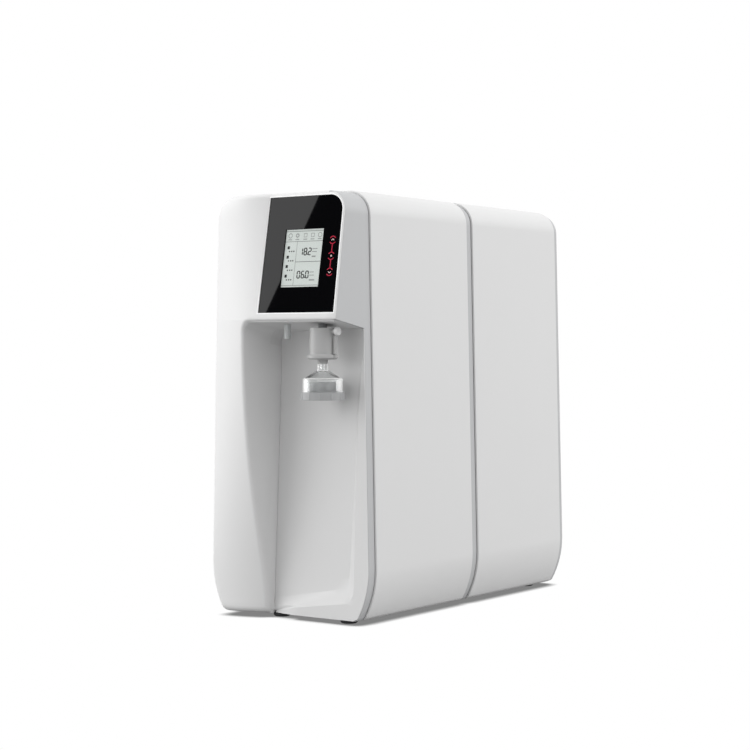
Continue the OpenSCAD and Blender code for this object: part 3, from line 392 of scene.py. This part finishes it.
def foot_corner(inset, lift):
    """The small arc between the tucked-in side and the underside, with the angle where it starts."""
    r = max(foot_r - inset, 1)
    z = under + lift + r
    x = tuck_x + sqrt((tuck_r - inset - r) ** 2 - (tuck_z - z) ** 2)
    return r, x, z, atan2(z - tuck_z, x - tuck_x)


def half_width(z, inset, lift=0.0):
    """Half the width of the body's outline at a height."""
    r, x, low, turn = foot_corner(inset, lift)
    if z >= shoulder_z:
        return shoulder_x + sqrt(max(0, (shoulder_r - inset) ** 2 - (z - shoulder_z) ** 2))
    if z >= tuck_z:
        return mix(waist_x, chest_x, (z - tuck_z) / (shoulder_z - tuck_z)) - inset
    if z >= low + r * sin(turn):
        return tuck_x + sqrt((tuck_r - inset) ** 2 - (tuck_z - z) ** 2)
    return x + sqrt(max(0, r * r - (low - z) ** 2))


edge_curve = [(5, -18), (95, -27), (165, 2 - reach), (hood_low - 2, 1.3 - reach)]


def edge_y(z):
    """How far the left edge of the dispensing space stands forward at a height."""
    low, high = 0.0, 1.0
    for _ in range(22):
        t = (low + high) / 2
        share = ((1 - t) ** 3, 3 * t * (1 - t) ** 2, 3 * t * t * (1 - t), t ** 3)
        height, forward = (sum(s * p[k] for s, p in zip(share, edge_curve)) for k in (0, 1))
        low, high = (t, high) if height < z else (low, t)
    return forward


def rounding(d, r):
    """How far a soft edge of radius r falls back at distance d inside its outline."""
    return 0.0 if d >= r else r if d <= 0 else r - sqrt(r * r - (r - d) ** 2)


lip_drop, ceiling_drop, space_edge, crest_edge = 4.2, 2.7, 4.5, 5.5
space_x, space_r, lip_z = -33.0, 12.0, hood_low - lip_drop * cos(lean)
glass_x, crest, inset_front, left_reach = space_x + 22.8, 496.0, 2.5, 33.0
band_back = -12.5


def rim_y(z):
    """The leaning face of the hood at a height."""
    return -reach + tan(lean) * (z - hood_low)


def space_distance(x, z):
    """The distance from the outline of the dispensing space, which has one round corner."""
    if x < space_x + space_r and z > lip_z - space_r:
        return hypot(x - space_x - space_r, z - lip_z + space_r) - space_r
    return max(space_x - x, z - lip_z)


def bow_y(x, z):
    """The bowed face of the column, which runs into the hood's flat face at the glass."""
    w = half_width(z, inset_front)
    if x >= glass_x and z >= hood_low - 2:
        return rim_y(z)
    depth = mix(7, 9.4, held(z / hood_low))
    u, e = min((x + w) / (glass_x + w), 1), (space_x + w) / (glass_x + w)
    end = rim_y(z)
    if z < hood_low - 2:
        end = (edge_y(z) + left_reach + 4 * depth * e * (1 - e)) / e - left_reach
    return mix(-left_reach, end, u) - 4 * depth * u * (1 - u)


def face_y(x, z):
    fall = rounding(space_distance(x, z), space_edge) + rounding(z - under, foot_r)
    return bow_y(x, z) + fall + rounding(crest - z, crest_edge)


def face_columns(z):
    """One level line of the face, from the left side's round edge to the right side."""
    w = half_width(z, inset_front)
    x1 = 5 - w
    corner = ((-w, face_y(-w, z) + 5), (-w, face_y(-w, z)), (x1, face_y(x1, z)))
    line = [tuple((1 - t) ** 2 * a + 2 * t * (1 - t) * b + t * t * c for a, b, c in zip(*corner))
            for t in (k / 8 for k in range(9))]
    across = [mix(x1, space_x - 2.6 * space_edge, k / 12) for k in range(1, 13)]
    across += [space_x - k * space_edge
               for k in (2.1, 1.7, 1.35, 1, 0.8, 0.62, 0.46, 0.33, 0.2, 0.1, 0.03, -0.06)]
    across += [space_x + k * space_r for k in (0.12, 0.25, 0.4, 0.55, 0.7, 0.85, 1)]
    across += [glass_x - 6, glass_x - 2, glass_x] + [mix(glass_x, w - 1.2, k / 8) for k in range(1, 9)]
    line += [(x, min(face_y(x, z), band_back - 0.5)) for x in across]
    last = face_y(w - 1.2, z)
    return line + [(w - 0.35, min(last + 0.35, band_back - 0.4)), (w, min(last + 1.2, band_back - 0.3))]


face_rows = [under + k for k in (0, 0.3, 0.8, 1.5, 2.4, 3.4, 4.6, 6, 8, 13)]
face_rows += [mix(22, tuck_z, k / 5) for k in range(6)] + [mix(74, 324, k / 22) for k in range(23)]
face_rows += [lip_z - k * space_r for k in (1, 0.87, 0.75, 0.62, 0.5, 0.37, 0.25, 0.12, 0)]
face_rows += [lip_z + k * space_edge for k in (0.1, 0.2, 0.33, 0.46, 0.62, 0.8, 1)]
face_rows += [356, 368, 390, 412, 434, 452]
face_rows += [shoulder_z + (shoulder_r - inset_front) * sin(radians(a))
              for a in (0, 8, 16, 24, 31, 38, 44, 49, 54, 58, 62, 66, 70, 75, 82, 90)]


def drawn_out(form, faces):
    """Doubles faces into blocks with walls, and gives the corners of the new ends."""
    grown = bmesh.ops.extrude_face_region(form, geom=faces, use_keep_orig=True)["geom"]
    return [v for v in grown if isinstance(v, bmesh.types.BMVert)]


def sheet_of(rows, deep):
    """A block whose face runs through rows of places, and whose back is drawn deep behind it."""
    form = bmesh.new()
    tall, wide = len(rows) - 1, len(rows[0]) - 1
    bmesh.ops.create_grid(form, x_segments=wide, y_segments=tall, size=0.5)
    for v in form.verts:
        v.co = rows[round((v.co.y + 0.5) * tall)][round((v.co.x + 0.5) * wide)]
    for v in drawn_out(form, form.faces[:]):
        v.co = deep(v.co)
    bmesh.ops.recalc_face_normals(form, faces=form.faces)
    return form


def prism(outline, y0, y1, place=at):
    """An upright outline, drawn from y0 back to y1."""
    form = bmesh.new()
    face = form.faces.new([form.verts.new(place(x, y0, z)) for x, z in outline])
    bmesh.ops.translate(form, verts=drawn_out(form, [face]), vec=place(0, y1, 0) - place(0, y0, 0))
    bmesh.ops.recalc_face_normals(form, faces=form.faces)
    return form


def block(x0, x1, y0, y1, z0, z1, place=at):
    return prism([(x0, z0), (x1, z0), (x1, z1), (x0, z1)], y0, y1, place)


def arc(x, z, r, a, b, n):
    turns = [radians(mix(a, b, k / n)) for k in range(n + 1)]
    return [(x + r * cos(turn), z + r * sin(turn)) for turn in turns]


def as_object(form, name):
    mesh = bpy.data.meshes.new(name)
    form.to_mesh(mesh)
    form.free()
    made = bpy.data.objects.new(name, mesh)
    scene.collection.objects.link(made)
    return made


def carved(form, cutter, operation="DIFFERENCE"):
    """Cuts one form with another and gives back the result."""
    piece, tool = as_object(form, "cut_piece"), as_object(cutter, "cut_tool")
    cut = piece.modifiers.new("cut", "BOOLEAN")
    cut.operation, cut.object, cut.solver = operation, tool, "EXACT"
    result = bmesh.new()
    result.from_object(piece, bpy.context.evaluated_depsgraph_get())
    for made in (piece, tool):
        mesh = made.data
        bpy.data.objects.remove(made)
        bpy.data.meshes.remove(mesh)
    return result


def settle(form, name, finish, corner=38, replaces=()):
    """Makes a finished form a piece of the housing."""
    piece = as_object(form, name)
    piece.data.materials.append(finish)
    piece.data.polygons.foreach_set("use_smooth", [True] * len(piece.data.polygons))
    piece.data.set_sharp_from_angle(angle=radians(corner))
    if replaces:
        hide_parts(*replaces)
    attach(piece, "housing")


def body_outline(inset, lift=0.0):
    r, x, z, turn = foot_corner(inset, lift)
    half = arc(x, z, r, -90, degrees(turn), 6)[:-1]
    half += arc(tuck_x, tuck_z, tuck_r - inset, degrees(turn), 0, 12)
    half += arc(shoulder_x, shoulder_z, shoulder_r - inset, 0, 90, 20)
    return half + [(-x, z) for x, z in reversed(half)]


beyond = 130


def space_outline(drop):
    """The dispensing space seen along the hood's depth, with its ceiling at a drop."""
    return [(beyond, -drop), (beyond, -420), (space_x, -420)] + \
        arc(space_x + space_r, -drop - space_r, space_r, 180, 90, 14)


cover = sheet_of([[at(x, y, z) for x, y in face_columns(z)] for z in face_rows],
                 lambda co: Vector((co.x, at(0, 17.5, 0).y, co.z)))
lip_depth, panel_depth, wall = 7, 73.7, 3.2
for drop, start in ((lip_drop, -40), (ceiling_drop, lip_depth), (-16, panel_depth)):
    cover = carved(cover, prism(space_outline(drop), start, 180, on_hood))
frame_side = [(-131, -5), (space_x - wall, -5), (space_x - wall, lip_z - 12), (131, lip_z - 12),
              (131, 521), (-131, 521)]
cover = carved(cover, prism(frame_side, band_back, 60))


def corner_y(z):
    """Where the left wall of the dispensing space meets its back."""
    return 6.5 * (2 * held((z - under) / 275) - 1)


wall_back = bmesh.new()
loop = [(corner_y(5) - 0.8, 0), (corner_y(280) - 0.8, 280), (5.7, 400), (60, 400), (60, 0)]
face = wall_back.faces.new([wall_back.verts.new(at(-37.5, y, z)) for y, z in loop])
bmesh.ops.translate(wall_back, verts=drawn_out(wall_back, [face]), vec=(0.0055, 0, 0))
bmesh.ops.recalc_face_normals(wall_back, faces=wall_back.faces)
cover = carved(cover, wall_back)


def hollow_columns(z):
    """One level line of the column's hollow, a wall's thickness behind its face."""
    w, x2 = half_width(z, inset_front + wall, wall), space_x - wall - 0.05
    line = [(-w, face_y(3 - w, z) + 7.2)]
    for x in (mix(4 - w, x2, k / 8) for k in range(9)):
        line.append((x, min(bow_y(x, z) + rounding(z - under, foot_r) + 3.7, band_back + 0.4)))
    return line


hollow_rows = [8.2, 12, 18, 28, 40, 52, tuck_z] + [mix(80, 340, k / 12) for k in range(13)]
hollow_rows += [355, 390, 430, shoulder_z, 476, 482, 487, 490, crest - wall]
cover = carved(cover, sheet_of([[at(x, y, z) for x, y in hollow_columns(z)] for z in hollow_rows],
                               lambda co: Vector((co.x, at(0, 27, 0).y, co.z))))
hood_inside = carved(block(space_x - 4.4, beyond, 4.6, 100, 0.5, 170, on_hood),
                     prism(body_outline(inset_front + wall), -90, 20), "INTERSECT")
cover = carved(cover, hood_inside)
beside_cheek = carved(block(72.7, beyond, 1.2, 100, -20, 170, on_hood),
                      prism(body_outline(inset_front + 3.5), -90, 20))
cover = carved(cover, beside_cheek)
glass_low, glass_w, glass_h, glass_r, glass_taper = 5.3, 107.8, 135.7, 19.0, radians(0.95)


def glass_outline(grow):
    """The glass with its one round corner, grown on all sides."""
    right, high = glass_x + glass_w, glass_low + glass_h
    corner_x = right - tan(glass_taper) * glass_h - glass_r
    return [(glass_x - grow, glass_low - grow), (right + grow, glass_low - grow)] + \
        arc(corner_x, high - glass_r, glass_r + grow, 0, 90, 18) + [(glass_x - grow, high + grow)]


glass_bed = prism(glass_outline(0.3), -1, 3.5, on_hood)
cover = carved(cover, glass_bed)
flare = bmesh.new()
rings = [flare.faces.new([flare.verts.new(on_hood(x, y, z)) for x, z in glass_outline(grow)])
         for grow, y in ((1.75, -1.1), (0.2, 0.45))]
bmesh.ops.bridge_loops(flare, edges=[e for ring in rings for e in ring.edges])
bmesh.ops.recalc_face_normals(flare, faces=flare.faces)
cover = carved(cover, flare)
screen_hole = block(14, 91, -1, 8, 30, 105.6, on_hood)
cover = carved(cover, screen_hole)
nozzle_hole, stem_hole = (12.2, 4.3), (62.8, 5.3)
for x, r in (nozzle_hole, stem_hole):
    cutter = bmesh.new()
    bmesh.ops.create_cone(cutter, cap_ends=True, segments=40, radius1=r / 1000, radius2=r / 1000, depth=0.04)
    bmesh.ops.translate(cutter, verts=cutter.verts, vec=at(x, -40, 340))
    cover = carved(cover, cutter)
soft_gloss = {"Specular IOR Level": 0.4}
cover_white = moulded("cover white", (0.71, 0.71, 0.71), 0.44, 0.1, 0.015, soft_gloss)
settle(cover, "front_cover_shell", cover_white, replaces=["front_cover"])

# ==== Recess panel ====
# The back of the dispensing space: one white moulding with a flat raised rim along the right
# side and an inclined step down to the gently sloping back. A strip closes its ceiling behind.


def between(path, t):
    """A place on a path of three points, with its bend at two fifths."""
    a, b, s = (path[0], path[1], t / 0.4) if t < 0.4 else (path[1], path[2], (t - 0.4) / 0.6)
    return mix(a[0], b[0], s), mix(a[1], b[1], s)


panel_top, panel_inset, rim_front, back_face = 341, 2.7, -13.6, -8
step_in, step_out = [(101.5, panel_top), (89, 242), (78, 62)], [(103, panel_top), (93.2, 238), (87, 41)]


def panel_row(rim, outer, inner, corner_z, y):
    """One line of the panel, from its rim over the step to the corner with the left wall."""
    corner = (space_x - wall, corner_y(corner_z), corner_z)
    r, o, i = (rim[0], y[0], rim[1]), (outer[0], y[1], outer[1]), (inner[0], y[2], inner[1])
    line = [mix(Vector(r), Vector(o), k / 3) for k in range(4)]
    line += [mix(Vector(o), Vector(i), k / 3) for k in range(1, 4)]
    return [at(*p) for p in line + [mix(Vector(i), Vector(corner), k / 10) for k in range(1, 11)]]


panel_rows = []
for k in range(31):
    t = k / 30
    inner, outer, z = between(step_in, t), between(step_out, t), mix(panel_top, tuck_z, t)
    w = half_width(z, panel_inset)
    inner_y = mix(rim_front + 0.8, back_face, held(t * 1.5))
    panel_rows.append(panel_row(
        (w, z), (min(outer[0], w - 0.5), outer[1]), (min(inner[0], w - 1.7), inner[1]),
        inner[1] - 2 * (1 - t), (rim_front, rim_front, inner_y)))
for k in range(1, 15):
    s = k / 14
    a, b, side_r = radians(-72 * s), foot_corner(panel_inset, 0)[3] * s, tuck_r - panel_inset
    panel_rows.append(panel_row(
        (tuck_x + side_r * cos(b), tuck_z + side_r * sin(b)),
        (69 + 18 * cos(a), 41 + 18 * sin(a)), (54 + 24 * cos(a), 62 + 24 * sin(a)),
        mix(62, 24, s), (rim_front, rim_front, back_face)))
for k in range(9):
    t = k / 8
    panel_rows.append(panel_row(
        (mix(86, 0, t), under + 0.2), (mix(72, 2, t), mix(23.6, 14, t)),
        (mix(60, 4, t), mix(38.5, 16.5, t)), mix(22, 13, t),
        (rim_front, rim_front, mix(back_face, -12.7, t))))
panel_rows.append(panel_row((-18, under + 0.2), (-16, 9), (-14, 12), 9.5, (-10.4, -10.2, -9.8)))
panel_rows.append(panel_row((space_x + 2, under + 0.2), (space_x + 3, 6.8), (space_x + 4, 8.4),
                            6.5, (-7.2, -7.1, -7)))
rim_back, joint = at(0, rim_front + 0.2, 0).y, 0.08
back_wall, rim_wall = Vector((0, 0.003, 0)), Vector((0, 0.0011, 0))
recess = sheet_of(panel_rows, lambda co: co + (back_wall if co.y > rim_back else rim_wall))
slope = on_hood(0, 0, 1) - on_hood(0, 0, 0)
bmesh.ops.bisect_plane(
    recess, geom=recess.verts[:] + recess.edges[:] + recess.faces[:], dist=1e-7,
    plane_co=on_hood(0, 0, -ceiling_drop - joint), plane_no=slope, clear_outer=True)
bmesh.ops.holes_fill(recess, edges=[e for e in recess.edges if e.is_boundary])
if recess.calc_volume(signed=True) < 0:
    bmesh.ops.reverse_faces(recess, faces=recess.faces)
# A little darker than the cover white: painted shade for the deep dispensing space.
recess_white_painted_shade = moulded("recess white", (0.67, 0.67, 0.67), 0.46, 0.12, 0.015, soft_gloss)
settle(recess, "recess_panel_shell", recess_white_painted_shade, corner=16, replaces=["recess_panel"])

strip_w, strip_top, strip_front, strip_back, proud = 99.5, -0.9, 56.9, 77, 0.06
ceiling = [(strip_w, -ceiling_drop - proud)] + \
    arc(space_x + space_r, -ceiling_drop - space_r, space_r - proud, 90, 180, 10) + \
    [(space_x + proud, -20), (space_x - 2, -20), (space_x - 2, strip_top), (strip_w, strip_top)]
strip = prism(ceiling, strip_front, strip_back, on_hood)
settle(strip, "recess_ceiling", recess_white_painted_shade)

# ==== Display ====
# A black-backed glass plate lies a little below the rim of the hood. A thin bright white band round it
# is a painted highlight along its edge. A window in its print shows the grey screen, and three touch
# marks are printed in red beside it.
window_x, window_w, window_z, window_h, screen_depth = 17.0, 54.2, 35.0, 67.6, 3.27


def on_screen(u, v):
    """A place on the screen, by its shares from the left and from the top."""
    return on_hood(window_x + u * window_w, screen_depth, window_z + (1 - v) * window_h)


glass = Finish("black backed glass", {
    "Base Color": (0.0025, 0.0025, 0.003), "Roughness": 0.015, "IOR": 1.43})
across, height = glass.across_and_up(glass.place(turn=(lean, 0, 0)))
low_mark = Matrix.Rotation(lean, 3, "X") @ on_hood(window_x, 0, window_z)
inside = (across > low_mark.x) * (across < low_mark.x + window_w / 1000) \
    * (height > low_mark.z) * (height < low_mark.z + window_h / 1000)
window_clearness = 0.93
glass.feed("Alpha", 1 - inside * window_clearness)
dress("display_glass", glass.owner, 0)

# The bright white band round the glass is a painted highlight along the edge of its bed.
edge_highlight_white = moulded("seal white", (0.93, 0.93, 0.93), 0.3, 0.02, 0.01)
edge_highlight_band = carved(prism(glass_outline(1.3), -0.06, 1.2, on_hood), prism(glass_outline(0.1), -1, 2, on_hood))
settle(edge_highlight_band, "glass_edge_highlight", edge_highlight_white)

screen_grey = Finish("screen grey", {
    "Roughness": 0.5, "Emission Color": (0.62, 0.66, 0.635), "Emission Strength": 0.72})
tint = screen_grey.noise(30.0, 2.0)
screen_grey.feed("Base Color", screen_grey.mixed((0.26, 0.28, 0.27), (0.24, 0.265, 0.25), tint))
dress("lcd_module", screen_grey.owner, 0)
ink = Finish("screen ink", {"Roughness": 0.6, "Base Color": (0.012, 0.013, 0.013)}).owner
pale_ink = Finish("pale screen ink", {"Roughness": 0.6, "Base Color": (0.16, 0.17, 0.165)}).owner
faint_ink = Finish("faint screen ink", {"Roughness": 0.6, "Base Color": (0.33, 0.35, 0.34)}).owner


def printed(name, finish, bars, thick=0.025, extra=None):
    """Flat printed bars on the screen, each by its left, top, right and bottom share."""
    form = bmesh.new()
    for u0, v0, u1, v1 in bars:
        corners = ((u0, v1), (u1, v1), (u1, v0), (u0, v0))
        form.faces.new([form.verts.new(on_screen(u, v)) for u, v in corners])
    if extra:
        extra(form)
    deep = on_hood(0, thick, 0) - on_hood(0, 0, 0)
    bmesh.ops.translate(form, verts=drawn_out(form, form.faces[:]), vec=deep)
    bmesh.ops.recalc_face_normals(form, faces=form.faces)
    settle(form, name, finish)


def digits(form, text, u, v, tall, wide):
    """Seven-bar figures, whose bars have pointed ends like those of a measuring display."""
    strokes = {"0": "abcdef", "1": "bc", "2": "abged", "6": "acdefg", "8": "abcdefg"}
    ends = {"a": (0, 0, 1, 0), "b": (1, 0, 1, 1), "c": (1, 1, 1, 2), "d": (0, 2, 1, 2),
            "e": (0, 1, 0, 2), "f": (0, 0, 0, 1), "g": (0, 1, 1, 1)}
    point, upright_half, level_half, gap, step = 0.008, 0.01375, 0.00935, 0.001, wide + 0.044
    for figure in text:
        if figure == ".":
            form.faces.new([form.verts.new(on_screen(u - 0.03 + dx, v + tall + dy))
                            for dx, dy in ((0, 0), (0.018, 0), (0.018, -0.02), (0, -0.02))])
            continue
        for key in strokes[figure]:
            x0, y0, x1, y1 = ends[key]
            a = Vector((u + x0 * wide, v + y0 * tall / 2))
            b = Vector((u + x1 * wide, v + y1 * tall / 2))
            way = (b - a).normalized()
            side = Vector((-way.y * upright_half, way.x * level_half))
            a, b = a + way * gap, b - way * gap
            a1, b1 = a + way * point, b - way * point
            points = [a, a1 + side, b1 + side, b, b1 - side, a1 - side]
            form.faces.new([form.verts.new(on_screen(p.x, p.y)) for p in points])
        u += step


blocks = [(0.065, v, 0.125, v + 0.052) for v in (0.285, 0.448, 0.61, 0.775)]
dots = [(u, v, u + 0.032, v + 0.022) for v in (0.365, 0.528, 0.69, 0.855) for u in (0.11, 0.17, 0.225)]


def readings(form):
    digits(form, "18.2", 0.405, 0.33, 0.115, 0.068)
    digits(form, "06.0", 0.395, 0.725, 0.115, 0.068)


printed("screen_figures", ink, blocks + dots, extra=readings)
rules = [(0.0, 0.028, 1.0, 0.036), (0.0, 0.205, 1.0, 0.213), (0.0, 0.962, 1.0, 0.97),
         (0.308, 0.213, 0.316, 0.962), (0.316, 0.556, 1.0, 0.566)]
units = [(0.725, 0.335, 0.86, 0.35), (0.725, 0.385, 0.85, 0.4), (0.73, 0.462, 0.83, 0.488),
         (0.72, 0.735, 0.83, 0.748), (0.72, 0.79, 0.84, 0.803), (0.72, 0.865, 0.86, 0.89)]
printed("screen_rules", pale_ink, rules)
printed("screen_units", faint_ink, units)


icon_places = (0.11, 0.30, 0.51, 0.70, 0.89)


def icons(form):
    """Five faint marks in the screen's head row: rings, a gear and frames."""
    for u, shape in zip(icon_places, ("ring", "gear", "frame", "frame", "ring")):
        centre, count = on_screen(u, 0.105), 32 if shape == "gear" else 24
        inner_r = 1.2 if shape == "gear" else 2.1
        outer, inner = [], []
        for k in range(count):
            a = 2 * pi * k / count
            outer_r = 2.3 if shape == "gear" and k % 4 >= 2 else 3.0
            square = 0.8 / max(abs(cos(a)), abs(sin(a))) if shape == "frame" else 1.0
            ray = (on_hood(cos(a), 0, sin(a)) - on_hood(0, 0, 0)) * square
            outer.append(form.verts.new(centre + ray * outer_r))
            inner.append(form.verts.new(centre + ray * inner_r))
        for k in range(count):
            form.faces.new([outer[k - 1], outer[k], inner[k], inner[k - 1]])


captions = [(u - 0.05, 0.165, u + 0.05, 0.182) for u in icon_places]
printed("screen_icons", faint_ink, captions, extra=icons)

mark_red = moulded("mark red", (0.42, 0.006, 0.035), 0.5, 0.02, 0.05, {"Specular IOR Level": 0.2})
mark_pale = moulded("mark pale", (0.62, 0.50, 0.48), 0.35, 0.02, 0.05)


low_key, middle_key, high_key = 51.5, 69.9, 88.2


def on_keys(x, z):
    """A place on the glass, across from the line through the three keys."""
    return on_hood(85.5 + x, 1.15, z)


def touch_marks(form):
    """Two red arcs round each key, and a link between the keys."""
    inner_r, outer_r, step = 3.7, 4.8, 116 / 14
    for z in (low_key, middle_key, high_key):
        for start in [side + k * step for side in (32, 212) for k in range(14)]:
            a0, a1 = radians(start), radians(start + step)
            form.faces.new([form.verts.new(on_keys(r * cos(a), z + r * sin(a)))
                            for r, a in ((inner_r, a0), (outer_r, a0), (outer_r, a1), (inner_r, a1))])
    for z0, z1 in ((56.2, 65.2), (74.6, 83.5)):
        form.faces.new([form.verts.new(on_keys(x, z))
                        for x, z in ((-0.6, z0), (0.6, z0), (0.6, z1), (-0.6, z1))])
    bmesh.ops.remove_doubles(form, verts=form.verts, dist=1e-7)


def touch_signs(form):
    """A pale arrow up, a dot and an arrow down."""
    arrow = ((-2, -0.9), (0, 0.7), (2, -0.9), (2, 0.1), (0, 1.7), (-2, 0.1))
    form.faces.new([form.verts.new(on_keys(x, low_key - h)) for x, h in arrow])
    form.faces.new([form.verts.new(on_keys(x, middle_key + h)) for x, h in arc(0, 0, 1.1, 0, 342, 19)])
    form.faces.new([form.verts.new(on_keys(x, high_key + h)) for x, h in arrow])


printed("touch_rings", mark_red, [], thick=0.05, extra=touch_marks)
printed("touch_signs", mark_pale, [], thick=0.05, extra=touch_signs)

# ==== Outlets and final filter ====
# A small translucent nozzle and a grey stem leave the ceiling of the space. The stem carries the
# white outlet body with its vent knob and side tube, and the clear bell of the filter plugs in below.
nozzle_haze = moulded("hazy nozzle polymer", (0.80, 0.82, 0.82), 0.3, 0.05, 0.05,
                      {"Transmission Weight": 0.55, "IOR": 1.35})
stem_grey = moulded("stem grey", (0.16, 0.165, 0.17), 0.42)
outlet_white = moulded("outlet white", (0.43, 0.43, 0.43), 0.34)
knob_white = moulded("knob white", (0.78, 0.78, 0.78), 0.38)
bell_clear = Finish("clear bell", {
    "Base Color": (0.97, 0.98, 0.98), "Transmission Weight": 1.0, "IOR": 1.42})
bell_clear.feed("Roughness", 0.05 + bell_clear.noise(40.0) * 0.05)
# Painted highlight at the bell's sides: where the wall is seen edge-on, a white shader that is partly gloss
# and partly a painted glow is mixed in, on all but the cone.
cone_low, cone_high, painted_glow_share = 0.2832, 0.2915, 0.55
gloss_and_painted_glow = bell_clear.node("BsdfPrincipled", inputs={
    "Base Color": (1, 1, 1), "Roughness": 0.25, "Metallic": 0.6,
    "Emission Color": (1, 1, 1), "Emission Strength": 0.35})
facing = bell_clear.node("LayerWeight", inputs={"Blend": 0.5}, output=1)
facing_glow_share = bell_clear.node("MapRange", inputs={0: facing, 1: 0.25, 2: 0.5})
level = bell_clear.across_and_up(bell_clear.place())[1]
bell_clear.blended(gloss_and_painted_glow, facing_glow_share * (level < cone_low).most(level > cone_high) * painted_glow_share)
core_grey = moulded("filter core grey", (0.34, 0.345, 0.35), 0.6, 0.5)
plug_grey = moulded("filter ring grey", (0.36, 0.365, 0.37), 0.4, 0.3)
dress("permeate_nozzle", nozzle_haze)
dress("outlet_stem", stem_grey)
dress("outlet_body", outlet_white, 0.0004)
dress("vent_knob", knob_white, 0.0002)
dress("vent_tube", outlet_white, 0.0002)
dress("filter_bell", bell_clear.owner, 0.0002)
dress("filter_core", core_grey)
dress("filter_ring", plug_grey)

# ==== Side covers ====
# Four white plastic covers hook over the frames. They are narrower at the top, tuck in below,
# and each has a small soft edge at its seams.
dress("right_front_cover left_front_cover right_rear_cover left_rear_cover", cover_white, 0.0009)
